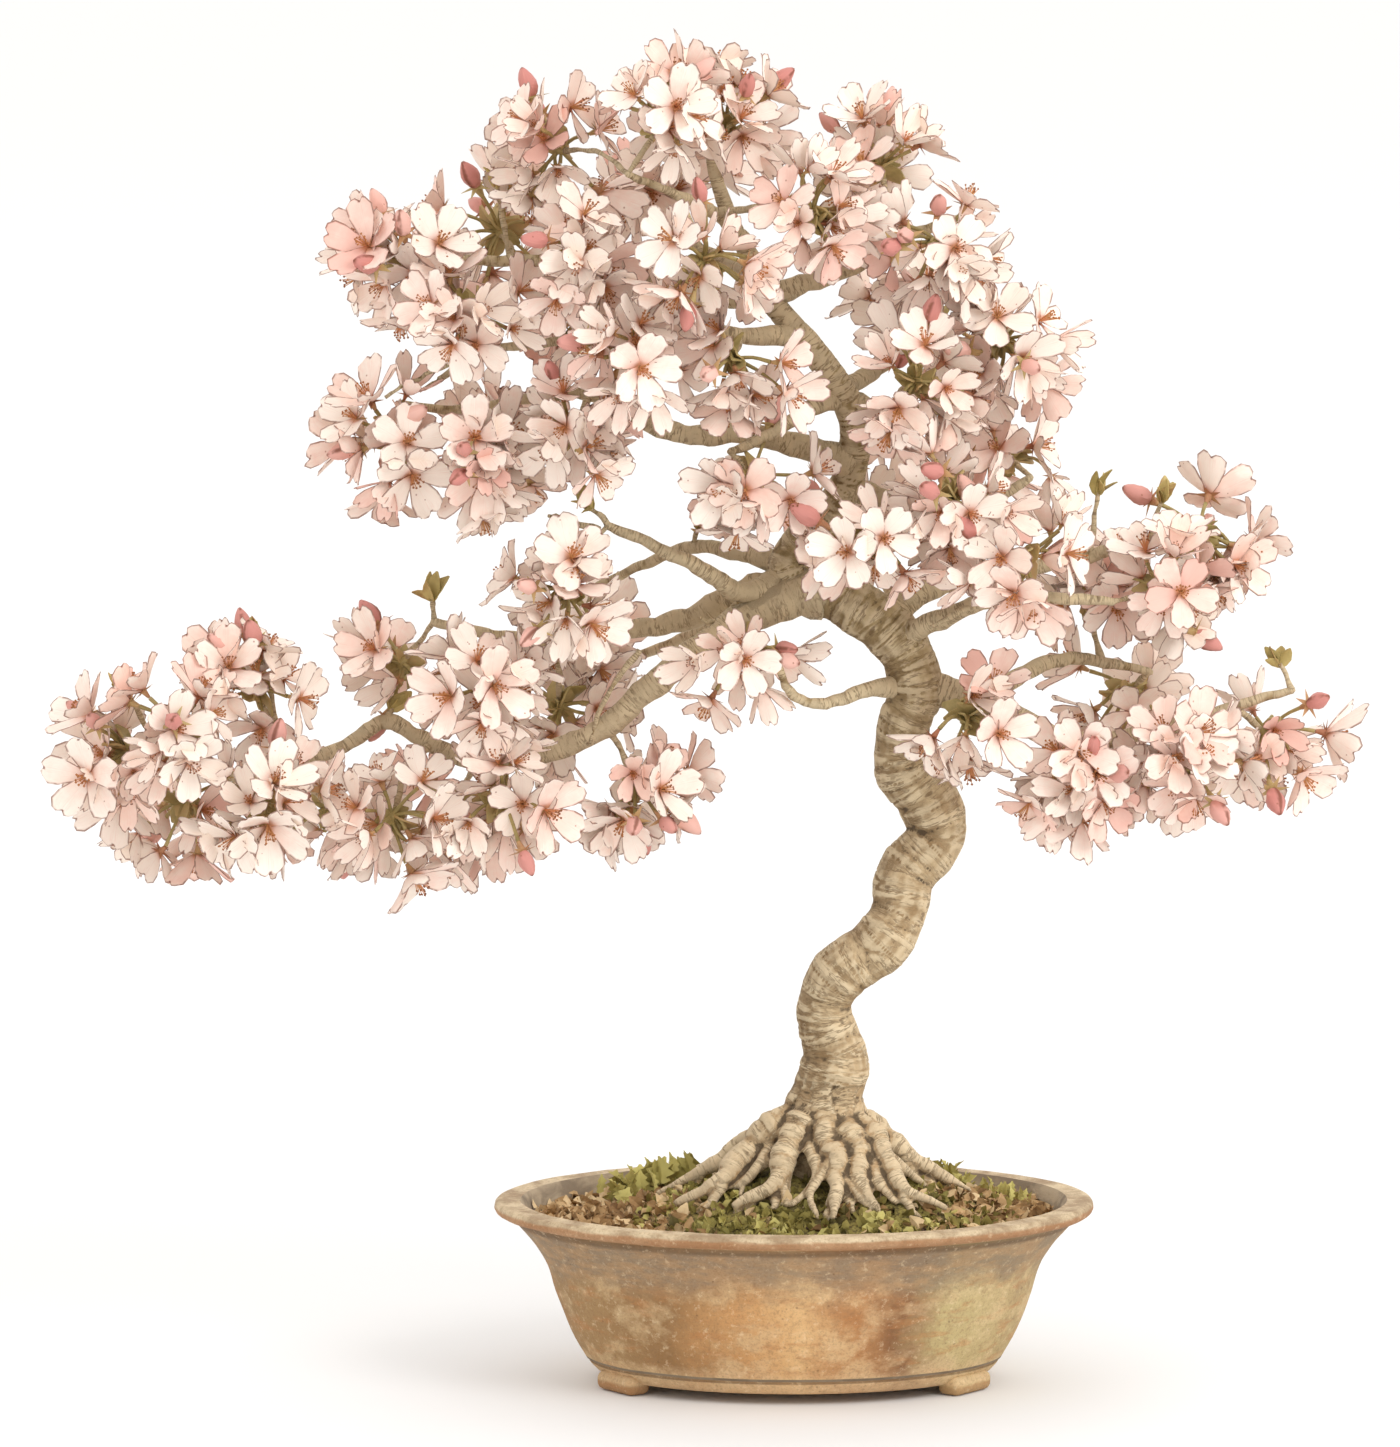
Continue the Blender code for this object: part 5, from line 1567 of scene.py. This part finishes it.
def build_twigs(plan, tufts, rng, wanted):
    """The short knobbly twigs that carry the sprays and the leaf tufts."""
    lines = [item["twig"] for item in plan]
    for root, tip, _ in tufts:
        middle = root.lerp(tip, 0.5) + Vector((0, 0, 0.001))
        lines.append([(root, 0.0013), (middle, 0.0011), (tip, 0.0009)])
    twigs = []
    for k, line in enumerate(lines):
        steps = max(3, int((line[-1][0] - line[0][0]).length / 0.0022 / (len(line) - 1)))
        twigs.append(old_wood(line, steps, (k * 2.3, 0.16), (k * 1.9, 0.0009)))
    for line in BARE_TWIGS:
        swell, bend = (rng.random() * 6, 0.14), (rng.random() * 40, 0.0014)
        twigs.append(old_wood(centreline(line, 1), 7, swell, bend))
    piece = limbs("twigs", twigs, 8)
    finish = bark_finish("twig_bark", wanted, 0.0)
    dress_wood(piece, "twigs", twigs, wanted.wrinkle * 1.3, (2, 0.0007), finish)


def petal_template(name, cup, recurve, ruffle, thickness):
    """One petal from a grid: narrow claw, oval blade, notched tip; its place is kept in a UV map."""
    rows = 4
    grid = bpy.ops.mesh.primitive_grid_add
    petal = fresh(grid, x_subdivisions=4, y_subdivisions=rows, size=2, calc_uvs=True)
    petal.name = name
    points = read_points(petal.data)
    widths = (0.065, 0.225, 0.345, 0.360, 0.218)
    reaches = (0.045, 0.30, 0.58, 0.84, 1.0)
    for point in points:
        u = point[0]
        row = round((point[1] + 1) / 2 * rows)
        wide, reach = widths[row], reaches[row]
        if row == rows:
            reach -= 0.062 * (1 - min(1.0, abs(u) * 2)) + 0.060 * max(0.0, abs(u) * 2 - 1)
        if row == rows - 1:
            reach -= 0.05 * u * u
        lift = cup * reach ** 1.4 - recurve * max(0.0, reach - 0.6) ** 2
        lift += 0.30 * u * u * wide + ruffle * math.sin(u * 2.6 + row * 1.2) * reach + 0.055 * u
        point[:] = (u * wide, reach, lift)
    write_points(petal.data, points * BLOOM_RADIUS)
    apply_modifier(petal, "SOLIDIFY", thickness=thickness, offset=0.0)
    return petal


ANTHER_SIZE = 0.00066


def stamens_template(seed, cup, count=12):
    """A brush of tapered filaments with an anther on each, round a pistil."""
    rng = random.Random(seed)
    threads, heads = [], []
    for k in range(count + 1):
        turn = 2 * math.pi * (k + rng.uniform(-0.3, 0.3)) / count
        spread = rng.uniform(0.20, 0.62) * (1.0 - 0.4 * cup) if k < count else 0.0
        length = BLOOM_RADIUS * rng.uniform(0.36, 0.56)
        way = Vector((math.cos(turn) * spread, math.sin(turn) * spread, 1)).normalized()
        tip = way * length
        turned_up = way.to_track_quat("Z", "Y").to_matrix().to_4x4()
        middle = turned_up @ Matrix.Translation((0, 0, length / 2))
        threads.append(cone("thread", 3, 0.00034, 0.00020, length, middle))
        for bottom, top, side in ((0.0, ANTHER_SIZE, -0.5), (ANTHER_SIZE, 0.0, 0.5)):
            middle = Matrix.Translation(tip + Vector((0, 0, ANTHER_SIZE * side)))
            heads.append(cone("anther", 4, bottom, top, ANTHER_SIZE, middle, "NOTHING"))
    heads = join_objects("anthers", heads)
    weld(heads)
    return join_objects("threads", threads), heads


def cone(name, sides, bottom, top, height, matrix, fill="NGON"):
    """A plain or cut cone at a place."""
    sizes = {"radius1": bottom, "radius2": top, "depth": height}
    obj = fresh(bpy.ops.mesh.primitive_cone_add, vertices=sides, end_fill_type=fill, **sizes)
    obj.name = name
    obj.data.transform(matrix)
    return obj


def calyx_template():
    """A bell-shaped calyx with five pointed sepals, below the heart of a bloom."""
    parts = [cone("bell", 6, 0.0009, 0.0020, 0.0050, Matrix.Translation((0, 0, -0.0026)))]
    for k in range(5):
        turn = Matrix.Rotation(2 * math.pi * (k + 0.5) / 5, 4, "Z") @ Matrix.Translation((0, 0.0036, -0.0008))
        flat = turn @ Matrix.Rotation(math.radians(-96), 4, "X") @ Matrix.Diagonal((1, 0.30, 1, 1))
        parts.append(cone("sepal", 4, 0.0015, 0.0001, 0.0062, flat))
    return join_objects("calyx", parts)


def bud_template():
    """A closed bud: wrapped petals drawn to a point."""
    bud = fresh(bpy.ops.mesh.primitive_uv_sphere_add, segments=10, ring_count=8, radius=1.0)
    points = read_points(bud.data)
    for point in points:
        share = (point[2] + 1) / 2
        turn = math.atan2(point[1], point[0]) + share * 0.9
        wide = 1 + 0.10 * math.cos(5 * turn)
        slim = (1 - 0.45 * share**3) * wide
        point[0] *= slim
        point[1] *= slim
    write_points(bud.data, points * np.array((BUD_RADIUS, BUD_RADIUS, BUD_LENGTH * 0.56)))
    bud.data.transform(Matrix.Translation((0, 0, BUD_LENGTH * 0.46)))
    return bud


def shape_of(obj, finish_index):
    """A template's points, faces, UVs and finish, taken into memory; the object goes."""
    mesh = obj.data
    uvs = np.zeros((len(mesh.loops), 2))
    if mesh.uv_layers:
        flat = np.empty(len(mesh.loops) * 2)
        mesh.uv_layers[0].data.foreach_get("uv", flat)
        uvs = flat.reshape(-1, 2)
    polygons = [list(face.vertices) for face in mesh.polygons]
    shape = {"points": read_points(mesh), "faces": polygons, "uvs": uvs, "finish": finish_index}
    bpy.data.objects.remove(obj)
    return shape


class Copies:
    """Gathers copies of templates into one mesh."""

    def __init__(self):
        self.points, self.faces, self.uvs, self.finishes, self.tints = [], [], [], [], []
        self.count = 0

    def place(self, shape, matrix, tint):
        """Adds a copy of a shape at a place, in a shade from 0 to 1."""
        turn = np.array(matrix.to_3x3())
        self.points.append(shape["points"] @ turn.T + np.array(matrix.translation))
        self.faces += [[self.count + i for i in face] for face in shape["faces"]]
        self.uvs.append(shape["uvs"])
        self.finishes += [shape["finish"]] * len(shape["faces"])
        self.tints += [tint] * len(shape["points"])
        self.count += len(shape["points"])

    def made(self, name, with_uvs=True):
        """The gathered copies as one object."""
        mesh = bpy.data.meshes.new(name)
        mesh.from_pydata(np.concatenate(self.points).tolist(), [], self.faces)
        if with_uvs:
            layer = mesh.uv_layers.new(name="UVMap")
            layer.data.foreach_set("uv", np.concatenate(self.uvs).ravel())
        mesh.polygons.foreach_set("material_index", self.finishes)
        write_attribute(mesh, "tint", self.tints)
        obj = bpy.data.objects.new(name, mesh)
        bpy.context.scene.collection.objects.link(obj)
        return obj


# The finest blooms are this share of the plain ones they stand for, so that more of them fit
BLOOM_SHARE = 0.88
FILLERS_APART = 0.0092
FILLER_TRIES = 160
SCALES_ROUND_HUB = 12

PETAL_FINISH, GREEN_FINISH, STAMEN_FINISH, ANTHER_FINISH = range(4)


def bloom_templates(wanted):
    """The shapes that every spray is made from."""
    shapes = {"petals": [], "brushes": []}
    for k, (cup, recurve) in enumerate(((0.30, 0.20), (0.48, 0.35), (0.68, 0.40), (1.20, 0.0))):
        variants = []
        for ruffle in (0.03, -0.035):
            petal = petal_template(f"petal_{k}", cup, recurve, ruffle, wanted.petal)
            variants.append(shape_of(petal, PETAL_FINISH))
        shapes["petals"].append(variants)
    for k in range(2):
        threads, heads = stamens_template(SEED + 20 + k, 0.3 + 0.3 * k)
        shapes["brushes"].append((shape_of(threads, STAMEN_FINISH), shape_of(heads, ANTHER_FINISH)))
    shapes["calyx"] = shape_of(calyx_template(), GREEN_FINISH)
    shapes["bud"] = shape_of(bud_template(), PETAL_FINISH)
    scale = leaflet("scale", 3, 0.34, 0.30, 0.0)
    apply_modifier(scale, "SOLIDIFY", thickness=0.08, offset=-1.0)
    shapes["scale"] = shape_of(scale, GREEN_FINISH)
    return shapes


def flower_matrix(flower):
    """Stands a template's +Z along a bloom's axis, with its first petal where the frame has it."""
    side, up = turned_frame(flower["axis"], flower["roll"])
    turn = Matrix((side, up, flower["axis"])).transposed()
    size = flower["radius"] / BLOOM_RADIUS * BLOOM_SHARE
    return Matrix.Translation(flower["heart"]) @ turn.to_4x4() @ Matrix.Scale(size, 4)


def place_open_bloom(spray, shapes, flower, rng):
    """Five petals, stamens and calyx."""
    share = flower["cup"] / flower["radius"]
    kind = 3 if share > 0.8 else 2 if share > 0.42 else 1 if share > 0.26 else 0
    home = flower_matrix(flower)
    tint = min(1.0, max(0.0, rng.gauss(0.30, 0.20)))
    for k in range(5):
        turn = Matrix.Rotation(2 * math.pi * k / 5 - math.pi / 2 + rng.gauss(0, 0.035), 4, "Z")
        tilt = Matrix.Rotation(rng.gauss(0, 0.07), 4, "X")
        size = Matrix.Scale(rng.uniform(0.94, 1.04), 4)
        shape = shapes["petals"][kind][rng.randrange(2)]
        spray.place(shape, home @ turn @ tilt @ size, min(1.0, max(0.0, tint + rng.gauss(0, 0.12))))
    threads, heads = shapes["brushes"][rng.randrange(2)]
    spray.place(threads, home, tint)
    spray.place(heads, home, rng.random())
    spray.place(shapes["calyx"], home, rng.uniform(0.4, 1.0))


def filler_blooms(plan, lines, count, rng):
    """Further blooms in every spray, in the room that is left between the frame's own."""
    wood = list(lines.values()) + [item["twig"] for item in plan]
    boxes = [line_box(line) for line in wood]
    taken = [(flower["heart"], flower["axis"]) for item in plan for flower in item["flowers"]]
    extra = []
    for number, item in enumerate(plan):
        found = []
        wanted = count - (1 if item["blooms"] < 4 else 0)
        for _ in range(FILLER_TRIES):
            if len(found) >= wanted:
                break
            way = (stray(rng, 1) + Vector((0, -0.45, -0.1))).normalized()
            if way.dot(-item["away"]) > 0.45:
                continue
            half = rng.random() < 0.35
            length = STALK_LENGTH * rng.uniform(0.40, 1.15)
            lean = stray(rng, 0.30)
            radius = BLOOM_RADIUS * (rng.uniform(0.58, 0.72) if half else rng.uniform(0.84, 1.0))
            roll = rng.uniform(0, 2 * math.pi)
            cup = radius * (1.1 if half else rng.uniform(0.2, 0.6))
            flower = bloom_at(item["hub"], way, length, lean, radius, roll, cup)
            middle = flower["heart"] + flower["axis"] * radius * 0.3
            if any((middle - (heart + axis * 0.005)).length < FILLERS_APART for heart, axis in taken):
                continue
            if not is_clear(bloom_samples(flower), number, wood, boxes, [], len(lines), 0.25):
                continue
            found.append(flower)
            taken.append((flower["heart"], flower["axis"]))
        extra.append(found)
    return extra


def young_buds(item, rng):
    """Pointed buds on long stalks that stand out of a spray."""
    buds = []
    for _ in range(rng.choice((0, 1, 1, 2))):
        way = (stray(rng, 0.8) + item["away"] * 0.9 + Vector((0, -0.3, 0.25))).normalized()
        length = STALK_LENGTH * rng.uniform(1.05, 1.45)
        buds.append(bloom_at(item["hub"], way, length, stray(rng, 0.2), BUD_RADIUS, 0.0, 0.0))
    return buds


# The bare wood that no bloom hangs in front of: left and right column, upper and lower row of the photograph
BARE_WOOD = [(708, 905, 572, 622), (868, 938, 622, 735)]


def hides_trunk(flower):
    """True for a bloom that would hang in front of the trunk's bare wood."""
    heart = flower["heart"] + flower["axis"] * 0.004
    for left, right, upper, lower in BARE_WOOD:
        low, high = seen(left, lower, 0), seen(right, upper, 0)
        across = low.x < heart.x < high.x
        if heart.y < 0.004 and across and low.z < heart.z + heart.y * math.tan(VIEW_TILT) < high.z:
            return True
    return False


def inside_reach(bud):
    """True for a bud whose tip stays within the frame's box."""
    low, high = Vector(CAD_BOX[0]), Vector(CAD_BOX[1])
    tip = bud["heart"] + bud["axis"] * BUD_LENGTH * 1.3 + SHIFT
    return all(low[k] < tip[k] < high[k] for k in range(3))


def stalk_line(flower):
    """A stalk that leaves the hub along its way and bends into the calyx."""
    hub, axis, heart = flower["hub"], flower["axis"], flower["heart"]
    foot = heart - axis * 0.0048 * flower["radius"] / BLOOM_RADIUS
    middle = hub.lerp(foot, 0.5) + (flower["way"] - axis) * 0.0030 + Vector((0, 0, 0.0012))
    return smooth_line([(hub, 0.00100), (middle, 0.00074), (foot, 0.00092)], 3)


def build_blossoms():
    """One finished spray of blossom for each spray of the frame."""
    wanted = settings("bonsai_bloom")
    made = growth()
    shapes = bloom_templates(wanted)
    rng = random.Random(SEED + 5)
    extra = filler_blooms(made["plan"], made["lines"], wanted.fillers, rng)
    finishes = [petal_finish(wanted), green_finish(wanted), stamen_finish(wanted), anther_finish(wanted)]
    for number, item in enumerate(made["plan"]):
        spray = Copies()
        stalks = []
        for flower in item["flowers"] + extra[number]:
            if hides_trunk(flower):
                continue
            place_open_bloom(spray, shapes, flower, rng)
            stalks.append(stalk_line(flower))
        for bud in item["closed"] + [bud for bud in young_buds(item, rng) if inside_reach(bud)]:
            home = flower_matrix({**bud, "radius": BLOOM_RADIUS * rng.uniform(1.05, 1.35)})
            spray.place(shapes["bud"], home, rng.uniform(1.05, 1.5))
            spray.place(shapes["calyx"], home, rng.uniform(0.2, 0.8))
            stalks.append(stalk_line({**bud, "radius": BLOOM_RADIUS}))
        for _ in range(SCALES_ROUND_HUB):
            way = (stray(rng, 0.9) + item["away"] * 0.4).normalized()
            home = upright_matrix(item["hub"], way, rng.uniform(0, ANY_TURN), rng.uniform(0.0060, 0.0130))
            spray.place(shapes["scale"], home, rng.uniform(0.0, 0.45))
        spur = limbs("spur", stalks + [spur_line(item)], 6)
        spray.place(shape_of(spur, GREEN_FINISH), Matrix.Identity(4), 0.12)
        name = f"blossom_spray_{number + 1:02d}"
        piece = spray.made(name + "_fine")
        set_finish(piece, *finishes)
        smooth(piece, 60)
        hand_in(piece, name + "_fine", [name])


def spur_line(item):
    """The knobbly spur that a spray's stalks grow from."""
    hub, away = item["hub"], item["away"]
    return [
        (hub - away * 0.0036, 0.0012), (hub - away * 0.0016, 0.0021), (hub, 0.0026),
        (hub + away * 0.0018, 0.0021), (hub + away * 0.0030, 0.0009),
    ]


def petal_finish(wanted):
    """Petals: cream washed with warm pink, veined, with a red-brown line along the edge and freckles."""
    finish = Finish("petal_skin", wanted.blush)
    chart = finish.add("ShaderNodeUVMap", {"uv_map": "UVMap"})
    across, along, _ = finish.parts(chart)
    u = abs(across * 2 - 1)
    tint = finish.attribute("tint")
    place = finish.place()
    cloud = finish.noise(place, 0.0075, 3.0, 0.6, 0.2)
    veins = finish.noise(finish.moved(chart, scale=(24, 2.0, 1)), 1.0, 2.0, 0.6)
    wash = (tint * 0.75 + cloud * 0.75 - along * 0.20).step(0.34, 0.82)
    colour = finish.mix(wash, wanted.cream, wanted.blush)
    colour = finish.mix((tint + (cloud - 0.5) * 0.3).step(0.60, 0.90) * 0.65, colour, wanted.rose)
    closed = tint.step(1.02, 1.40)
    colour = finish.mix(closed * 0.75, colour, paint(190, 108, 102))
    colour = finish.mix(tint.step(1.0, 1.04) * along.step(0.80, 0.97) * 0.85, colour, wanted.margin)
    claw = 1 - (along + (cloud - 0.5) * 0.2).step(0.02, 0.30)
    colour = finish.mix(claw * 0.50, colour, wanted.rose)
    colour = finish.mix((1 - along.step(0.02, 0.17)) * 0.75, colour, paint(206, 138, 84))
    colour = finish.mix(veins.step(0.52, 0.72) * 0.20, colour, paint(232, 170, 152))
    rim = u.step(0.84, 0.97).highest(along.step(0.93, 0.99))
    broken = finish.noise(place, 0.0045, 2.0).step(0.30, 0.52)
    colour = finish.mix(rim * broken * 0.80, colour, wanted.margin)
    tip = (1 - u.step(0.06, 0.24)) * along.step(0.88, 0.97)
    colour = finish.mix(tip * 0.85, colour, wanted.margin)
    freckle = 1 - finish.cells(place, 0.0058).step(0.055, 0.085)
    colour = finish.mix(freckle * 0.6, colour, paint(158, 96, 72))
    finish.colour(colour)
    finish.roughness(0.6 + cloud * 0.15)
    finish.bump(veins, 0.0002, 0.35)
    finish.fixed(Specular_IOR_Level=0.2, Sheen_Weight=0.1)
    return finish


def green_finish(wanted):
    """Calyx, stalks and bud scales: olive, running to red-brown."""
    finish = Finish("calyx_and_stalk", wanted.stalk)
    tint = finish.attribute("tint")
    cloud = finish.noise(finish.place(), 0.005, 3.0, 0.6)
    colour = finish.ramp(tint * 0.75 + (cloud - 0.5) * 0.5 + 0.1, [
        (0.10, paint(148, 132, 78)), (0.30, wanted.stalk), (0.52, paint(194, 158, 108)),
        (0.80, wanted.calyx),
    ])
    finish.colour(colour)
    finish.roughness(0.6)
    finish.bump(finish.noise(finish.place(), 0.0012, 2.0), 0.0002, 0.4)
    return finish


def stamen_finish(wanted):
    """Filaments: orange-brown, paler in places."""
    finish = Finish("filament", wanted.stamen)
    cloud = finish.noise(finish.place(), 0.004, 2.0)
    finish.colour(finish.mix(cloud.step(0.4, 0.62), wanted.stamen, paint(212, 144, 100)))
    finish.roughness(0.5)
    return finish


def anther_finish(wanted):
    """Anthers: dark brown to amber."""
    finish = Finish("anther", wanted.anther)
    finish.colour(finish.mix(finish.attribute("tint") * 0.7, wanted.anther, paint(186, 118, 56)))
    finish.roughness(0.7)
    return finish


def build_leaves():
    """Tufts of young folded leaves at the twig ends."""
    wanted = settings("bonsai_leaf")
    rng = random.Random(SEED + 6)
    templates = []
    for k in range(3):
        blade = leaflet(f"young_leaf_{k}", 6, 0.20 + 0.03 * k, 0.08 + 0.12 * k, 0.10)
        apply_modifier(blade, "SOLIDIFY", thickness=0.035, offset=-1.0)
        templates.append(blade)
    spots = []
    for _, tip, way in growth()["tufts"]:
        for _ in range(6):
            lean = stray(rng, 0.42) + Vector((0, 0, 0.25))
            along = (way + lean).normalized()
            size = wanted.length * rng.uniform(0.50, 0.92)
            place = tip - way * 0.0012
            spots.append((*any_one(rng, templates, place, along, size), rng.random()))
    leaves = scatter("young_leaves", templates, spots)
    set_finish(leaves, leaf_finish(wanted))
    smooth(leaves, 50)
    hand_in(leaves, "young_leaves", ["tree"])


def leaf_finish(wanted):
    """Young leaves: olive, running to bronze."""
    finish = Finish("young_leaf", wanted.leaf)
    tint = finish.attribute("tint")
    cloud = finish.noise(finish.place(), 0.005, 3.0, 0.6)
    colour = finish.ramp(tint * 0.6 + cloud * 0.5, [
        (0.2, paint(140, 122, 64)), (0.5, wanted.leaf), (0.72, paint(196, 174, 112)),
        (0.92, wanted.bronze),
    ])
    finish.colour(colour)
    finish.roughness(0.55 + cloud * 0.2)
    finish.bump(cloud, 0.0004, 0.4)
    return finish


FLOOR_SIZE = 30
SENSOR_WIDTH = 36
FARTHEST_SEEN = 80
SKY_COLOUR = (1.0, 0.985, 0.965, 1)
SKY_STRENGTH = 1.16


def build_stage():
    """A plain pale floor, soft light and the camera at the photograph's angle."""
    wanted = settings("bonsai_stage")
    floor = fresh(bpy.ops.mesh.primitive_plane_add, size=FLOOR_SIZE, location=(0, 0, -0.0002))
    floor.name = "floor"
    finish = Finish("floor", wanted.floor)
    finish.fixed(Roughness=0.9, Specular_IOR_Level=0.1)
    finish.shader.inputs["Base Color"].default_value = (*wanted.floor, 1)
    set_finish(floor, finish)
    target = seen(PHOTO_WIDTH / 2, PHOTO_HEIGHT / 2, 0) + SHIFT
    distance = wanted.lens / SENSOR_WIDTH * PHOTO_HEIGHT * PIXEL
    toward = Vector((0, -math.cos(VIEW_TILT), math.sin(VIEW_TILT)))
    bpy.ops.object.camera_add(location=target + toward * distance, rotation=(math.pi / 2 - VIEW_TILT, 0, 0))
    camera = bpy.context.object
    camera.data.lens = wanted.lens
    camera.data.sensor_width = SENSOR_WIDTH
    camera.data.clip_end = FARTHEST_SEEN
    bpy.context.scene.camera = camera
    add_softbox("key", (1.5, -1.5, 1.7), 1.2, 20, target)
    add_softbox("back", (-0.6, 1.9, 1.6), 1.6, 4, target)
    bpy.context.scene.world = paper_sky()
    bpy.context.scene.view_settings.view_transform = "Standard"


def paper_sky():
    """Soft warm light from all round, and plain white paper behind the tree."""
    world = bpy.data.worlds.new("studio")
    world.use_nodes = True
    nodes, links = world.node_tree.nodes, world.node_tree.links
    light = nodes["Background"]
    light.inputs["Color"].default_value = SKY_COLOUR
    light.inputs["Strength"].default_value = SKY_STRENGTH
    paper = nodes.new("ShaderNodeBackground")
    paper.inputs["Color"].default_value = (1, 1, 1, 1)
    seen_ray = nodes.new("ShaderNodeLightPath")
    either = nodes.new("ShaderNodeMixShader")
    links.new(seen_ray.outputs["Is Camera Ray"], either.inputs[0])
    links.new(light.outputs[0], either.inputs[1])
    links.new(paper.outputs[0], either.inputs[2])
    links.new(either.outputs[0], nodes["World Output"].inputs["Surface"])
    return world


def add_softbox(name, place, size, power, target):
    """A square area light that faces the tree."""
    bpy.ops.object.light_add(type="AREA", location=place)
    light = bpy.context.object
    light.name = name
    light.data.size = size
    light.data.energy = power
    light.rotation_euler = (target - Vector(place)).to_track_quat("-Z", "Y").to_euler()


class BONSAI_OT_pot(bpy.types.Operator):
    """Model and finish the stoneware pot"""

    bl_idname = "bonsai.pot"
    bl_label = "Stoneware Pot"

    def execute(self, context):
        build_pot()
        return {"FINISHED"}


class BONSAI_OT_ground(bpy.types.Operator):
    """Model and finish the moss, litter and grit, and finish the soil and drain screens"""

    bl_idname = "bonsai.ground"
    bl_label = "Moss and Soil"

    def execute(self, context):
        build_ground()
        return {"FINISHED"}


class BONSAI_OT_wood(bpy.types.Operator):
    """Model and finish the trunk, roots, boughs and twigs"""

    bl_idname = "bonsai.wood"
    bl_label = "Wood"

    def execute(self, context):
        build_wood()
        return {"FINISHED"}


class BONSAI_OT_leaves(bpy.types.Operator):
    """Model and finish the young leaves"""

    bl_idname = "bonsai.leaves"
    bl_label = "Young Leaves"

    def execute(self, context):
        build_leaves()
        return {"FINISHED"}


class BONSAI_OT_blossoms(bpy.types.Operator):
    """Model and finish every spray of blossom"""

    bl_idname = "bonsai.blossoms"
    bl_label = "Blossom Sprays"

    def execute(self, context):
        build_blossoms()
        return {"FINISHED"}


class BONSAI_OT_stage(bpy.types.Operator):
    """Set up the pale floor, the soft light and the camera"""

    bl_idname = "bonsai.stage"
    bl_label = "Stage"

    def execute(self, context):
        build_stage()
        return {"FINISHED"}


OPERATORS = (
    BONSAI_OT_stage, BONSAI_OT_pot, BONSAI_OT_ground, BONSAI_OT_wood, BONSAI_OT_leaves, BONSAI_OT_blossoms,
)
GROUPS = {
    "bonsai_pot": BonsaiPotSettings,
    "bonsai_ground": BonsaiGroundSettings,
    "bonsai_wood": BonsaiWoodSettings,
    "bonsai_bloom": BonsaiBloomSettings,
    "bonsai_leaf": BonsaiLeafSettings,
    "bonsai_stage": BonsaiStageSettings,
}


class BONSAI_PT_panel(bpy.types.Panel):
    """Lists the bonsai's pieces and their settings"""

    bl_idname = "BONSAI_PT_panel"
    bl_label = "Cherry Blossom Bonsai"
    bl_space_type = "VIEW_3D"
    bl_region_type = "UI"
    bl_category = "Bonsai"

    def draw(self, context):
        for operator in OPERATORS:
            self.layout.operator(operator.bl_idname)
        for name, group in GROUPS.items():
            box = self.layout.box()
            for key in group.__annotations__:
                box.prop(getattr(context.scene, name), key)


def register():
    """Registers the settings, the operators and the panel."""
    for group in (*GROUPS.values(), *OPERATORS, BONSAI_PT_panel):
        bpy.utils.register_class(group)
    for name, group in GROUPS.items():
        setattr(bpy.types.Scene, name, bpy.props.PointerProperty(type=group))


def unregister():
    """Takes them out again."""
    for name in GROUPS:
        delattr(bpy.types.Scene, name)
    for group in (BONSAI_PT_panel, *reversed(OPERATORS), *reversed(GROUPS.values())):
        bpy.utils.unregister_class(group)


def main():
    """Registers the add-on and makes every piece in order."""
    register()
    for operator in OPERATORS:
        getattr(bpy.ops.bonsai, operator.bl_idname.split(".")[1])()


if __name__ == "__main__":
    main()
